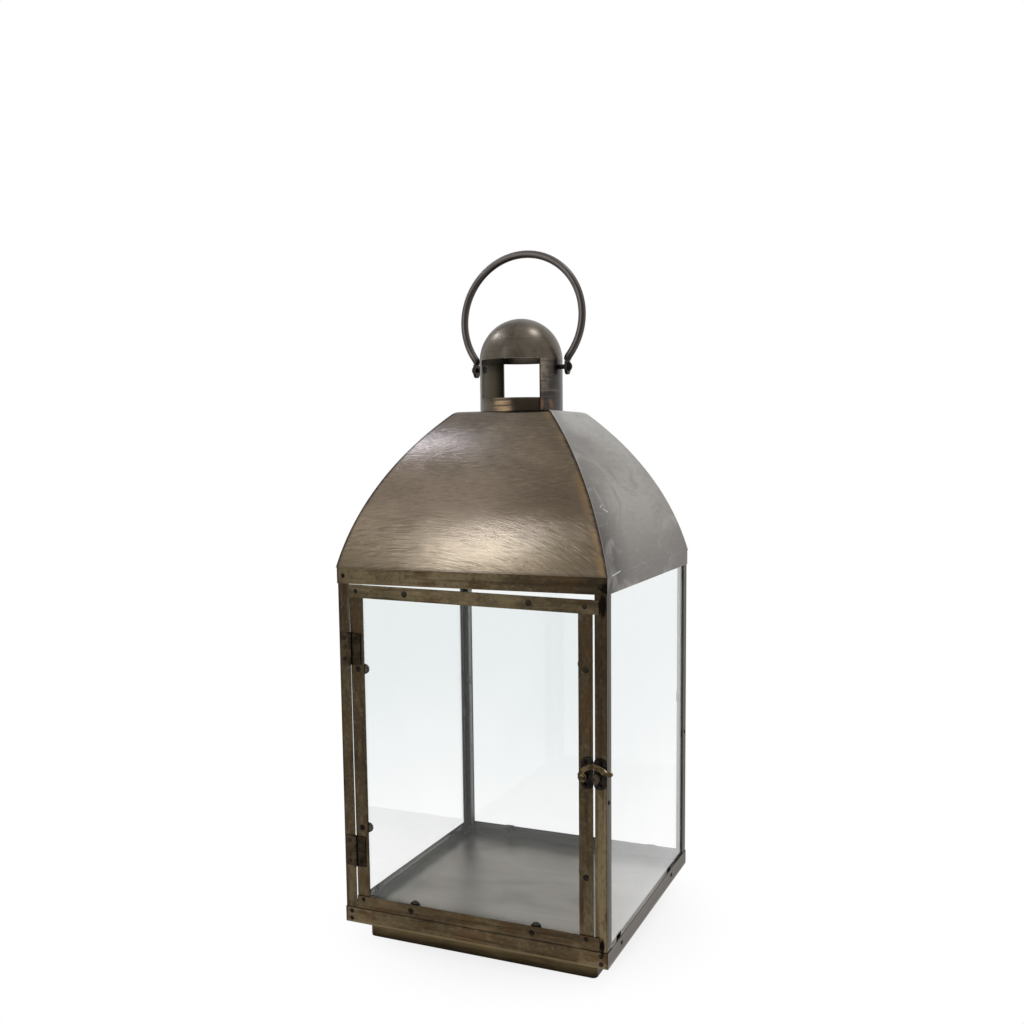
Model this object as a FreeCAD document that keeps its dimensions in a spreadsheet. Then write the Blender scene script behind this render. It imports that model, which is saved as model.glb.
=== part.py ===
import FreeCAD, Part
import math
import os
import Sketcher

# Candle lantern in sheet metal and glass: a riveted square frame on a set-back plinth, a framed glass
# door on two butt hinges, three fixed panes, a curved hipped roof, a vented chimney and a wire bail.
# Millimetres, +Z up, door towards -Y, origin at the middle of the plinth's underside.

dimensions = {
    # Frame of corner posts and rails
    "frame_width": 250.0,
    "frame_height": 324.5,
    "sheet": 1.2,
    "post_leg": 10.5,
    "rail_height": 14.0,
    "rail_sheet": 0.6,
    "floor_notch_room": 0.2,
    # Plinth under the frame
    "plinth_height": 18.5,
    "plinth_inset": 14.8,
    "plinth_corner": 4.5,
    "plinth_round": 1.6,
    # Rivets: domed head outside, flat tail inside
    "rivet_head_radius": 2.1,
    "rivet_head_height": 1.0,
    "rivet_shank_radius": 1.0,
    "rivet_tail_radius": 1.5,
    "rivet_tail_height": 0.6,
    "rivet_play": 0.05,
    "rail_rivet_inset": 5.5,
    "rail_rivet_pitch": 7.0,
    # Fixed panes and their bent clips
    "glass_thickness": 2.0,
    "glass_lap": 3.2,
    "clip_thickness": 1.0,
    "clip_width": 9.0,
    "clip_foot": 4.8,
    "rail_clip_reach": 5.2,
    "post_clip_reach": 3.0,
    "rail_clip_near": 25.6,
    "rail_clip_far": 44.5,
    "side_clip_drop": 22.5,
    "back_clip_rise": 12.5,
    # Door of two stiles behind two strips
    "door_gap": 1.8,
    "stile_width": 12.2,
    "strip_height": 11.6,
    "corner_rivet_rise": 2.9,
    "door_bottom_gap": 0.5,
    "door_top_gap": 0.35,
    "door_top_fall": 4.05,
    "door_rack": 1.1,
    "door_stop_lap": 4.0,
    "door_glass_lap": 4.0,
    "glass_seat": 0.3,
    # Turn-tabs behind the door glass
    "tab_radius": 4.5,
    "tab_length": 5.0,
    "tab_thickness": 1.0,
    "tab_head_radius": 2.8,
    "tab_spread": 58.0,
    "foot_tab_lift": 58.0,
    "latch_tab_lift": 58.0,
    "hinge_tab_inset": 75.5,
    "latch_tab_inset": 61.0,
    # Butt hinges
    "hinge_height": 28.0,
    "hinge_inset_top": 57.5,
    "hinge_inset_bottom": 53.0,
    "hinge_leaf_width": 8.2,
    "hinge_leaf": 1.0,
    "hinge_pin_radius": 0.85,
    "hinge_pin_head": 1.4,
    "hinge_pin_end": 0.8,
    "hinge_rivet_pitch": 19.0,
    "knuckle_radius": 1.7,
    "knuckle_play": 0.2,
    "running_play": 0.05,
    # Swing-hook latch
    "latch_rise": 2.0,
    "latch_plate_width": 10.4,
    "latch_plate_height": 26.0,
    "latch_plate_corner": 4.0,
    "latch_plate": 1.0,
    "latch_plate_gap": 0.4,
    "latch_screw_pitch": 19.0,
    "latch_screw_head": 1.7,
    "catch_screw_shift": 1.2,
    "pivot_drop": 3.0,
    "pivot_radius": 1.25,
    "pivot_head": 2.3,
    "pivot_round": 0.8,
    "hook_standoff": 1.4,
    "hook_thickness": 2.2,
    "hook_band": 4.2,
    "hook_boss_radius": 3.8,
    "hook_lead": 9.4,
    "hook_drop": 2.3,
    "hook_tip_length": 4.6,
    "hook_tip_radius": 1.5,
    "hook_knob_radius": 2.2,
    "hook_seat": 2.5,
    "hook_mouth_angle": 36.0,
    "hook_heel_angle": 164.0,
    "stud_radius": 3.5,
    "stud_tail": 3.7,
    "stud_height": 4.2,
    "stud_peg_radius": 1.5,
    "stud_side": 2.6,
    "stud_lift": 2.8,
    "stud_inset": 2.5,
    # Hipped roof
    "roof_height": 136.5,
    "roof_radius": 268.0,
    "roof_sheet": 1.2,
    "roof_shoulder": 7.6,
    "roof_bend": 9.5,
    "roof_seam": 0.1,
    # Chimney
    "chimney_radius": 38.3,
    "chimney_wall": 1.2,
    "chimney_height": 47.9,
    "chimney_gap": 0.8,
    "window_width": 57.0,
    "window_sill": 13.1,
    # Bail and its pins
    "wire_radius": 3.4,
    "bail_offset": 7.4,
    "bail_bulge": 13.2,
    "bail_bend": 5.0,
    "bail_leg": 6.7,
    "bail_lean": 4.0,
    "paddle_half_width": 4.75,
    "paddle_thickness": 2.6,
    "paddle_toe": 2.45,
    "paddle_neck": 2.1,
    "pin_drop": 6.7,
    "pin_radius": 2.15,
    "pin_head_radius": 4.4,
    "pin_head_height": 2.8,
    "pin_tail_radius": 3.2,
    "pin_tail_height": 0.6,
    "pin_play": 0.3,
}

doc = FreeCAD.newDocument("candle_lantern")
sheet = doc.addObject("Spreadsheet::Sheet", "dims")
for row, (name, value) in enumerate(dimensions.items(), start=1):
    sheet.set(f"A{row}", name)
    sheet.set(f"B{row}", str(value))
    sheet.setAlias(f"B{row}", name)
doc.recompute()

# Places worked out from the driving dimensions
middle_line = "0"
half = "(dims.frame_width / 2)"
frame_bottom = "dims.plinth_height"
eave = "(dims.plinth_height + dims.frame_height)"
outer_face = f"({half} + dims.sheet)"
rail_half = f"({half} + dims.rail_sheet)"
inner_face = f"({half} - dims.sheet)"
bottom_rail_top = f"({frame_bottom} + dims.rail_height)"
top_rail_bottom = f"({eave} - dims.rail_height)"
post_edge = f"({half} - dims.post_leg)"
rail_rivet = f"({half} - dims.rail_rivet_inset)"
rivet_hole = "(dims.rivet_shank_radius + dims.rivet_play)"
top_rivet_row = f"({eave} - dims.rail_height / 2)"
bottom_rail_middle = f"({frame_bottom} + dims.rail_height / 2)"
foot_rivet_rows = [f"({bottom_rail_middle} {sign} dims.rail_rivet_pitch / 2)" for sign in "-+"]

pane_back = f"({inner_face} - dims.glass_thickness)"
pane_edge = f"({post_edge} + dims.glass_lap)"
pane_bottom = f"({bottom_rail_top} - dims.glass_lap)"
pane_top = f"({top_rail_bottom} + dims.glass_lap)"
clip_rivet = "((dims.clip_foot + dims.clip_thickness) / 2)"
rail_clip_rivet_row = f"({pane_bottom} - {clip_rivet})"
post_clip_rivet = f"({pane_edge} + {clip_rivet})"
near_clip = f"(-{post_edge} + dims.rail_clip_near)"
far_clip = f"({post_edge} - dims.rail_clip_far)"

stile_outer = f"({post_edge} - dims.door_gap)"
stile_inner = f"({stile_outer} - dims.stile_width)"
stile_middle = f"({stile_outer} - dims.stile_width / 2)"
door_bottom = f"({bottom_rail_top} + dims.door_bottom_gap)"
door_top = f"({top_rail_bottom} - dims.door_top_gap)"
door_middle = f"(({door_bottom} + {door_top}) / 2)"
strip_end = f"({post_edge} + dims.door_stop_lap)"
racked_corner = f"(-{stile_outer} - dims.door_rack)"
bottom_strip_middle = f"({door_bottom} + dims.strip_height / 2)"
bottom_corner_row = f"({bottom_strip_middle} + dims.corner_rivet_rise)"
fall_rate = f"(dims.door_top_fall / ({strip_end} + {stile_outer}))"
hinge_tab_high = f"({door_top} - dims.hinge_tab_inset)"
hinge_tab_low = f"({door_bottom} + dims.hinge_tab_inset)"
latch_tab_high = f"({door_top} - dims.latch_tab_inset)"
latch_tab_low = f"({door_bottom} + dims.latch_tab_inset)"
door_glass_half = f"({stile_inner} + dims.door_glass_lap)"
door_glass_bottom = f"({bottom_strip_middle} + dims.rivet_shank_radius + dims.glass_seat)"

hinge_x = f"(-{post_edge} + dims.door_gap / 2)"
hinge_y = f"(-{half} - dims.knuckle_radius - dims.knuckle_play)"
upper_hinge = f"({door_top} - dims.hinge_inset_top)"
lower_hinge = f"({door_bottom} + dims.hinge_inset_bottom)"
leaf_edge = "(dims.knuckle_radius + 2 * dims.knuckle_play)"
leaf_rivet = f"({leaf_edge} + dims.hinge_leaf_width / 2)"

latch_front = f"({half} + dims.latch_plate)"
stud_x = f"({post_edge} + dims.stud_inset)"
arch_x = f"({stud_x} - dims.stud_side)"
pivot_x = f"({arch_x} - dims.hook_lead)"
latch_middle = f"({door_middle} + dims.latch_rise)"
pivot_z = f"({latch_middle} - dims.pivot_drop)"
arch_z = f"({pivot_z} - dims.hook_drop)"
stud_z = f"({arch_z} + dims.stud_lift)"
hook_inner = "(sqrt(dims.stud_side ^ 2 + dims.stud_lift ^ 2) + dims.stud_radius + dims.hook_seat)"
hook_outer = f"({hook_inner} + dims.hook_band)"
plate_join = f"({post_edge} - dims.door_gap / 2)"
plate_offset = "((dims.latch_plate_gap + dims.latch_plate_width) / 2)"
door_plate_middle = f"({plate_join} - {plate_offset})"
catch_plate_middle = f"({plate_join} + {plate_offset})"
catch_screw = f"({catch_plate_middle} + dims.catch_screw_shift)"
latch_screw_rows = [f"({latch_middle} {sign} dims.latch_screw_pitch / 2)" for sign in "+-"]

roof_top = f"({eave} + dims.roof_height)"
roof_top_half = "(dims.chimney_radius + dims.roof_shoulder)"
collar_half = "(dims.chimney_radius + dims.chimney_gap)"
flue = "(dims.chimney_radius - dims.chimney_wall)"
chimney_foot = f"({roof_top} - dims.roof_sheet)"
dome_base = f"({chimney_foot} + dims.chimney_height)"
pivot_height = f"({dome_base} - dims.pin_drop)"
bail_foot = "(dims.chimney_radius + dims.bail_offset)"
bend_height = f"({pivot_height} + dims.bail_leg)"
ring_radius = f"({bail_foot} + dims.bail_bulge)"

quarter_turns = {"front": 0, "right": 90, "back": 180, "left": 270}
riveted_sides = ("front", "back")
upward = FreeCAD.Vector(0, 0, 1)
sub_parts = []
tolerance = 1e-4


def number(expression):
    return float(sheet.evalExpression(expression))


def top_strip_edge(x):
    # Upper edge of the door's top strip, which falls towards the latch side
    return f"({door_top} - {fall_rate} * ({x} + {stile_outer}))"


def top_strip_middle(x):
    return f"({top_strip_edge(x)} - dims.strip_height / 2)"


# Sketches and features
def new_body(label):
    body = doc.addObject("PartDesign::Body", label)
    body.Label = label
    sub_parts.append(body)
    return body


def add_sketch(body, name, plane, offset=None):
    sketch = body.newObject("Sketcher::SketchObject", name)
    support = next(feature for feature in body.Origin.OriginFeatures if feature.Role == plane)
    sketch.AttachmentSupport = (support, [""])
    sketch.MapMode = "FlatFace"
    if offset:
        sketch.setExpression("AttachmentOffset.Base.z", offset)
    return sketch


def bind(sketch, constraint, expression):
    index = sketch.addConstraint(constraint)
    sketch.setExpression(f"Constraints[{index}]", expression)


def fix_x(sketch, geometry, point, x):
    bind(sketch, Sketcher.Constraint("DistanceX", -1, 1, geometry, point, number(x)), x)


def fix_y(sketch, geometry, point, y):
    bind(sketch, Sketcher.Constraint("DistanceY", -1, 1, geometry, point, number(y)), y)


def fix_point(sketch, geometry, point, x, y):
    fix_x(sketch, geometry, point, x)
    fix_y(sketch, geometry, point, y)


def join(sketch, first, first_point, second, second_point):
    sketch.addConstraint(Sketcher.Constraint("Coincident", first, first_point, second, second_point))


def vector(x, y):
    return FreeCAD.Vector(number(x), number(y), 0)


def line(sketch, start, end):
    return sketch.addGeometry(Part.LineSegment(vector(*start), vector(*end)))


def polygon(sketch, corners):
    sides = [line(sketch, corner, corners[i - len(corners) + 1]) for i, corner in enumerate(corners)]
    for i, side in enumerate(sides):
        join(sketch, side, 2, sides[i - len(sides) + 1], 1)
        fix_point(sketch, side, 1, *corners[i])


def rectangle(sketch, left, bottom, right, top):
    corners = [(left, bottom), (right, bottom), (right, top), (left, top)]
    sides = [line(sketch, corner, corners[i - 3]) for i, corner in enumerate(corners)]
    for i, side in enumerate(sides):
        join(sketch, side, 2, sides[i - 3], 1)
        sketch.addConstraint(Sketcher.Constraint("Vertical" if i % 2 else "Horizontal", side))
    fix_point(sketch, sides[0], 1, left, bottom)
    fix_point(sketch, sides[2], 1, right, top)


def circle(sketch, x, y, radius):
    geometry = sketch.addGeometry(Part.Circle(vector(x, y), upward, number(radius)))
    bind(sketch, Sketcher.Constraint("Radius", geometry, number(radius)), radius)
    fix_point(sketch, geometry, 3, x, y)
    return geometry


def arc(sketch, centre, radius, start_angle, end_angle):
    round_path = Part.Circle(vector(*centre), upward, number(radius))
    turn = [math.radians(angle) for angle in (start_angle, end_angle)]
    return sketch.addGeometry(Part.ArcOfCircle(round_path, *turn))


def tongue(sketch, x, low, high, radius):
    # A strip that hangs down from a straight top to a round end
    left = line(sketch, (f"{x} - {radius}", high), (f"{x} - {radius}", low))
    end = arc(sketch, (x, low), radius, 180, 360)
    right = line(sketch, (f"{x} + {radius}", low), (f"{x} + {radius}", high))
    top = line(sketch, (f"{x} + {radius}", high), (f"{x} - {radius}", high))
    sketch.addConstraint(Sketcher.Constraint("Tangent", left, 2, end, 1))
    sketch.addConstraint(Sketcher.Constraint("Tangent", end, 2, right, 1))
    join(sketch, right, 2, top, 1)
    join(sketch, top, 2, left, 1)
    sketch.addConstraint(Sketcher.Constraint("Vertical", left))
    sketch.addConstraint(Sketcher.Constraint("Horizontal", top))
    bind(sketch, Sketcher.Constraint("Radius", end, number(radius)), radius)
    fix_point(sketch, end, 3, x, low)
    fix_y(sketch, top, 1, high)


def pad(body, sketch, length, symmetric=False):
    feature = body.newObject("PartDesign::Pad", f"{body.Label}_pad")
    feature.Profile = sketch
    feature.setExpression("Length", length)
    feature.SideType = "Symmetric" if symmetric else "One side"
    return feature


def cut_through(body, sketch):
    feature = body.newObject("PartDesign::Pocket", f"{body.Label}_cut")
    feature.Profile = sketch
    feature.Type = "ThroughAll"
    feature.SideType = "Symmetric"
    return feature


def drill(body, name, plane, holes):
    sketch = add_sketch(body, name, plane)
    for x, y, radius in holes:
        circle(sketch, x, y, radius)
    cut_through(body, sketch)


def revolve(body, sketch, axis):
    feature = body.newObject("PartDesign::Revolution", f"{body.Label}_turned")
    feature.Profile = sketch
    feature.ReferenceAxis = (sketch, [axis])
    feature.Angle = 360
    return feature


def round_edges(body, base, chosen, radius):
    doc.recompute()
    names = [f"Edge{i}" for i, edge in enumerate(base.Shape.Edges, start=1) if chosen(edge)]
    feature = body.newObject("PartDesign::Fillet", f"{body.Label}_round")
    feature.Base = (base, names)
    feature.setExpression("Radius", radius)
    return feature


def turn_to_side(feature, side):
    feature.Placement = FreeCAD.Placement(FreeCAD.Vector(), FreeCAD.Rotation(upward, quarter_turns[side]))


def near(first, second):
    return abs(first - second) < tolerance


# Groups of small identical pieces
def group(label, solids):
    feature = doc.addObject("Part::Feature", label)
    feature.Label = label
    feature.Shape = Part.makeCompound(solids)
    sub_parts.append(feature)


def rivet(grip, head_radius="dims.rivet_head_radius"):
    head = number(head_radius)
    rise = number("dims.rivet_head_height")
    shank = number("dims.rivet_shank_radius")
    tail = number("dims.rivet_tail_radius")
    depth = -number(grip)
    end = depth - number("dims.rivet_tail_height")
    ball = (head ** 2 + rise ** 2) / (2 * rise)
    lean = math.asin(head / ball) / 2
    crown = FreeCAD.Vector(0, 0, rise)
    brow = FreeCAD.Vector(ball * math.sin(lean), 0, rise - ball + ball * math.cos(lean))
    outline = [(head, 0), (shank, 0), (shank, depth), (tail, depth), (tail, end), (0, end)]
    points = [FreeCAD.Vector(x, 0, z) for x, z in outline]
    edges = [Part.Arc(crown, brow, points[0]).toShape()]
    edges += [Part.makeLine(start, stop) for start, stop in zip(points, points[1:] + [crown])]
    return Part.Face(Part.Wire(edges)).revolve(FreeCAD.Vector(), upward, 360)


def seat(solid, x, y, z, side="front"):
    # Stand a piece made along +Z on an outer face, pointing outwards, then turn it to its side
    outward = FreeCAD.Rotation(upward, FreeCAD.Vector(0, -1, 0))
    on_front = FreeCAD.Placement(FreeCAD.Vector(number(x), number(y), number(z)), outward)
    to_side = FreeCAD.Placement(FreeCAD.Vector(), FreeCAD.Rotation(upward, quarter_turns[side]))
    placed = solid.copy()
    placed.Placement = to_side.multiply(on_front)
    return placed


# Plinth: a shallow pan with rounded corners, open towards the floor plate
def make_plinth():
    body = new_body("base_plinth")
    plan = add_sketch(body, "plinth_plan", "XY_Plane")
    reach = f"({half} - dims.plinth_inset)"
    rectangle(plan, f"-{reach}", f"-{reach}", reach, reach)
    block = pad(body, plan, "dims.plinth_height")
    corners = round_edges(body, block, lambda edge: near(edge.tangentAt(0).z ** 2, 1), "dims.plinth_corner")
    rounded = round_edges(body, corners, lambda edge: near(edge.BoundBox.ZMax, 0), "dims.plinth_round")
    doc.recompute()
    top = number("dims.plinth_height")
    faces = enumerate(rounded.Shape.Faces, start=1)
    lids = [f"Face{i}" for i, face in faces if near(face.BoundBox.ZMin, top)]
    shell = body.newObject("PartDesign::Thickness", "plinth_shell")
    shell.Base = (rounded, lids)
    shell.setExpression("Value", "dims.sheet")
    shell.Reversed = True


# Floor plate: reaches the rails between the posts, with its corners notched clear of the posts and
# of the rivet tails above, so that a tray of the same outline can be laid on it
def make_floor():
    body = new_body("floor_plate")
    plan = add_sketch(body, "floor_plan", "XY_Plane", frame_bottom)
    notch = f"({inner_face} - dims.rivet_tail_height - dims.floor_notch_room)"
    corner = [(post_edge, f"-{half}"), (post_edge, f"-{notch}"), (notch, f"-{notch}"),
              (notch, f"-{post_edge}"), (half, f"-{post_edge}")]
    outline = []
    for quarter in range(4):
        outline += corner
        corner = [(f"-({y})", x) for x, y in corner]
    polygon(plan, outline)
    pad(body, plan, "dims.sheet")


# Corner posts: modelled at the front left corner, with a front leg and a side leg, then turned
def make_post(label, side, front_holes, side_holes):
    body = new_body(label)
    section = add_sketch(body, f"{label}_section", "XY_Plane", frame_bottom)
    outer = f"-{half}"
    inner = f"-{inner_face}"
    tip = f"-{post_edge}"
    polygon(section, [(outer, outer), (tip, outer), (tip, inner), (inner, inner), (inner, tip), (outer, tip)])
    pad(body, section, "dims.frame_height")
    drill(body, f"{label}_front_holes", "XZ_Plane", front_holes)
    drill(body, f"{label}_side_holes", "YZ_Plane", side_holes)
    turn_to_side(body, side)


def make_posts():
    side_clip = (f"-{post_clip_rivet}", f"({door_middle} - dims.side_clip_drop)", rivet_hole)
    back_clip = (f"-{post_clip_rivet}", f"({door_middle} + dims.back_clip_rise)", rivet_hole)
    pitch = "dims.hinge_rivet_pitch / 2"
    leaf_row = f"({hinge_x} - {leaf_rivet})"
    hinges = [(leaf_row, f"({middle} {sign} {pitch})", rivet_hole)
              for middle in (upper_hinge, lower_hinge) for sign in "+-"]
    screws = [(f"-{catch_screw}", row, rivet_hole) for row in latch_screw_rows]
    peg = (f"-{stud_x}", stud_z, "(dims.stud_peg_radius + dims.rivet_play)")
    rails = [(f"-{rail_rivet}", row, rivet_hole) for row in foot_rivet_rows + [top_rivet_row]]
    make_post("corner_post_front_left", "front", rails + hinges, [side_clip])
    make_post("corner_post_front_right", "right", [side_clip], rails + screws + [peg])
    make_post("corner_post_back_right", "back", rails + [back_clip], [side_clip])
    make_post("corner_post_back_left", "left", [side_clip], rails + [back_clip])


# Rails: flat strips outside the posts, the front and back ones riveted on and lapping the ends of the others
def make_rail(label, side, bottom, holes):
    body = new_body(label)
    face = add_sketch(body, f"{label}_face", "XZ_Plane", half)
    end = rail_half if side in riveted_sides else half
    rectangle(face, f"-{end}", bottom, end, f"({bottom} + dims.rail_height)")
    for hole in holes:
        circle(face, *hole)
    pad(body, face, "dims.rail_sheet")
    turn_to_side(body, side)


def make_rails():
    clips = [(x, rail_clip_rivet_row, rivet_hole) for x in (near_clip, far_clip)]
    ends = (f"-{rail_rivet}", rail_rivet)
    for side in quarter_turns:
        top_holes = []
        foot_holes = [] if side == "front" else clips
        if side in riveted_sides:
            top_holes = [(x, top_rivet_row, rivet_hole) for x in ends]
            foot_holes = foot_holes + [(x, row, rivet_hole) for x in ends for row in foot_rivet_rows]
        make_rail(f"top_rail_{side}", side, top_rail_bottom, top_holes)
        make_rail(f"bottom_rail_{side}", side, frame_bottom, foot_holes)


def make_frame_rivets():
    pin = rivet("dims.rail_sheet + dims.sheet")
    rows = foot_rivet_rows + [top_rivet_row]
    group("frame_rivets", [seat(pin, f"{sign}{rail_rivet}", f"-{rail_half}", row, side)
                           for side in riveted_sides for row in rows for sign in ("-", "")])


# Fixed panes, held by bent clips on the bottom rails and on the posts
def make_pane(side):
    body = new_body(f"glass_{side}")
    face = add_sketch(body, f"glass_{side}_face", "XZ_Plane", pane_back)
    rectangle(face, f"-{pane_edge}", pane_bottom, pane_edge, pane_top)
    pad(body, face, "dims.glass_thickness")
    turn_to_side(body, side)


def bent_clip(offset, length):
    # Foot on the carrier's inner face, a step past the pane's edge, and a tongue over the pane.
    # Made with the tongue along +X, the inward direction +Y and the pane's edge at the origin.
    thick = number("dims.clip_thickness")
    foot = -number("dims.clip_foot")
    reach = number(length)
    width = number("dims.clip_width")
    step = number(offset)
    outline = [(foot, 0), (0, 0), (0, step), (reach, step), (reach, step + thick),
               (-thick, step + thick), (-thick, thick), (foot, thick)]
    points = [FreeCAD.Vector(x, y, -width / 2) for x, y in outline]
    profile = Part.Face(Part.makePolygon(points + points[:1]))
    start = FreeCAD.Vector(-number(clip_rivet), -thick, 0)
    hole = Part.makeCylinder(number(rivet_hole), 3 * thick, start, FreeCAD.Vector(0, 1, 0))
    return profile.extrude(FreeCAD.Vector(0, 0, width)).cut(hole)


def place_clip(clip, x, y, z, roll, side):
    local = FreeCAD.Placement(FreeCAD.Vector(number(x), number(y), number(z)),
                              FreeCAD.Rotation(FreeCAD.Vector(0, 1, 0), roll))
    to_side = FreeCAD.Placement(FreeCAD.Vector(), FreeCAD.Rotation(upward, quarter_turns[side]))
    placed = clip.copy()
    placed.Placement = to_side.multiply(local)
    return placed


def make_panes():
    rail_clip = bent_clip(f"{half} - {pane_back}", "dims.rail_clip_reach")
    post_clip = bent_clip(f"{inner_face} - {pane_back}", "dims.post_clip_reach")
    rail_pin = rivet("dims.rail_sheet + dims.clip_thickness")
    post_pin = rivet("dims.sheet + dims.clip_thickness")
    pins = []
    for side in ("right", "back", "left"):
        make_pane(side)
        height = f"({door_middle} + dims.back_clip_rise)"
        if side != "back":
            height = f"({door_middle} - dims.side_clip_drop)"
        clips = [place_clip(rail_clip, x, f"-{half}", pane_bottom, -90, side) for x in (near_clip, far_clip)]
        clips.append(place_clip(post_clip, f"-{pane_edge}", f"-{inner_face}", height, 0, side))
        clips.append(place_clip(post_clip, pane_edge, f"-{inner_face}", height, 180, side))
        group(f"glass_clips_{side}", clips)
        for x in (near_clip, far_clip):
            pins.append(seat(rail_pin, x, f"-{rail_half}", rail_clip_rivet_row, side))
        for x in (f"-{post_clip_rivet}", post_clip_rivet):
            pins.append(seat(post_pin, x, f"-{half}", height, side))
    group("glass_clip_rivets", pins)


# Roof: four curved sheets, bent over at the shoulder and mitred along the hips
def make_roof_panel(side):
    body = new_body(f"roof_panel_{side}")
    profile = add_sketch(body, f"roof_{side}_profile", "YZ_Plane")
    eave_half = number(outer_face)
    top_half = number(roof_top_half)
    low = number(eave)
    high = number(roof_top)
    radius = number("dims.roof_radius")
    thick = number("dims.roof_sheet")
    chord = FreeCAD.Vector(eave_half - top_half, high - low, 0)
    sag = math.sqrt(radius ** 2 - (chord.Length / 2) ** 2)
    middle = FreeCAD.Vector(-(eave_half + top_half) / 2, (low + high) / 2, 0)
    centre = middle + FreeCAD.Vector(chord.y, -chord.x, 0).normalize() * sag

    def curve(reach, upper, lower):
        start = math.atan2(upper - centre.y, -math.sqrt(reach ** 2 - (upper - centre.y) ** 2))
        end = math.atan2(lower - centre.y, -math.sqrt(reach ** 2 - (lower - centre.y) ** 2))
        return profile.addGeometry(Part.ArcOfCircle(Part.Circle(centre, upward, reach), start, end))

    outer = curve(radius, high, low)
    inner = curve(radius - thick, high - thick, low)
    under = f"({roof_top} - dims.roof_sheet)"
    flange = line(profile, (f"-{collar_half}", roof_top), (f"-{roof_top_half}", roof_top))
    drip = line(profile, (f"-{outer_face}", eave), (f"-{half}", eave))
    soffit = line(profile, (f"-{roof_top_half}", under), (f"-{collar_half}", under))
    collar = line(profile, (f"-{collar_half}", under), (f"-{collar_half}", roof_top))
    join(profile, flange, 2, outer, 1)
    join(profile, outer, 2, drip, 1)
    join(profile, drip, 2, inner, 2)
    join(profile, inner, 1, soffit, 1)
    join(profile, soffit, 2, collar, 1)
    join(profile, collar, 2, flange, 1)
    join(profile, outer, 3, inner, 3)
    for level in (flange, drip, soffit):
        profile.addConstraint(Sketcher.Constraint("Horizontal", level))
    profile.addConstraint(Sketcher.Constraint("Vertical", collar))
    fix_point(profile, outer, 1, f"-{roof_top_half}", roof_top)
    fix_point(profile, outer, 2, f"-{outer_face}", eave)
    bind(profile, Sketcher.Constraint("Radius", outer, radius), "dims.roof_radius")
    bind(profile, Sketcher.Constraint("Radius", inner, radius - thick), "dims.roof_radius - dims.roof_sheet")
    fix_point(profile, soffit, 2, f"-{collar_half}", under)
    blank = pad(body, profile, f"2 * {outer_face}", symmetric=True)

    def at_level(level):
        return lambda edge: near(edge.BoundBox.ZMin, level) and near(edge.BoundBox.ZMax, level)

    def outer_shoulder(edge):
        box = edge.BoundBox
        return at_level(high)(edge) and near(box.YMin, -top_half) and near(box.YMax, -top_half)

    def inner_shoulder(edge):
        box = edge.BoundBox
        collar_edge = near(box.YMax, -number(collar_half))
        return at_level(high - thick)(edge) and near(box.YLength, 0) and not collar_edge

    bent = round_edges(body, blank, outer_shoulder, "dims.roof_bend")
    round_edges(body, bent, inner_shoulder, "dims.roof_bend - dims.roof_sheet")
    mitre = add_sketch(body, f"roof_{side}_mitre", "XY_Plane")
    far = f"(2 * {outer_face})"
    for sign in ("", "-"):
        polygon(mitre, [(f"{sign}(-dims.roof_seam)", middle_line),
                        (f"{sign}({far} - dims.roof_seam)", f"-{far}"),
                        (f"{sign}({far})", middle_line)])
    cut_through(body, mitre)
    turn_to_side(body, side)


def make_roof():
    for side in quarter_turns:
        make_roof_panel(side)
    body = new_body("roof_top_plate")
    plan = add_sketch(body, "top_plate_plan", "XY_Plane", f"({chimney_foot} - dims.sheet)")
    reach = f"(({collar_half} + {roof_top_half}) / 2 - dims.roof_sheet)"
    rectangle(plan, f"-{reach}", f"-{reach}", reach, reach)
    circle(plan, middle_line, middle_line, flue)
    pad(body, plan, "dims.sheet")


# Chimney: a pipe with open-topped windows front and back, and a hemispherical cap
def make_chimney():
    body = new_body("chimney_tube")
    ring = add_sketch(body, "tube_section", "XY_Plane", chimney_foot)
    circle(ring, middle_line, middle_line, "dims.chimney_radius")
    circle(ring, middle_line, middle_line, flue)
    pad(body, ring, "dims.chimney_height")
    window = add_sketch(body, "tube_windows", "XZ_Plane")
    sill = f"({chimney_foot} + dims.window_sill)"
    side = "(dims.window_width / 2)"
    rectangle(window, f"-{side}", sill, side, f"({dome_base} + dims.chimney_wall)")
    cut_through(body, window)
    bore = "(dims.pin_radius + dims.running_play)"
    drill(body, "tube_pin_holes", "YZ_Plane", [(middle_line, pivot_height, bore)])

    dome = new_body("chimney_dome")
    profile = add_sketch(dome, "dome_profile", "XZ_Plane")
    outer = arc(profile, (middle_line, dome_base), "dims.chimney_radius", 0, 90)
    inner = arc(profile, (middle_line, dome_base), flue, 0, 90)
    rim = line(profile, (flue, dome_base), ("dims.chimney_radius", dome_base))
    crown = line(profile, (middle_line, f"{dome_base} + dims.chimney_radius"),
                 (middle_line, f"{dome_base} + {flue}"))
    join(profile, rim, 2, outer, 1)
    join(profile, outer, 2, crown, 1)
    join(profile, crown, 2, inner, 2)
    join(profile, inner, 1, rim, 1)
    join(profile, outer, 3, inner, 3)
    profile.addConstraint(Sketcher.Constraint("Horizontal", rim))
    profile.addConstraint(Sketcher.Constraint("Vertical", crown))
    profile.addConstraint(Sketcher.Constraint("PointOnObject", outer, 3, -2))
    profile.addConstraint(Sketcher.Constraint("PointOnObject", crown, 1, -2))
    fix_y(profile, outer, 3, dome_base)
    fix_y(profile, rim, 2, dome_base)
    bind(profile, Sketcher.Constraint("Radius", outer, number("dims.chimney_radius")), "dims.chimney_radius")
    bind(profile, Sketcher.Constraint("Radius", inner, number(flue)), flue)
    revolve(dome, profile, "V_Axis")


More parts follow.
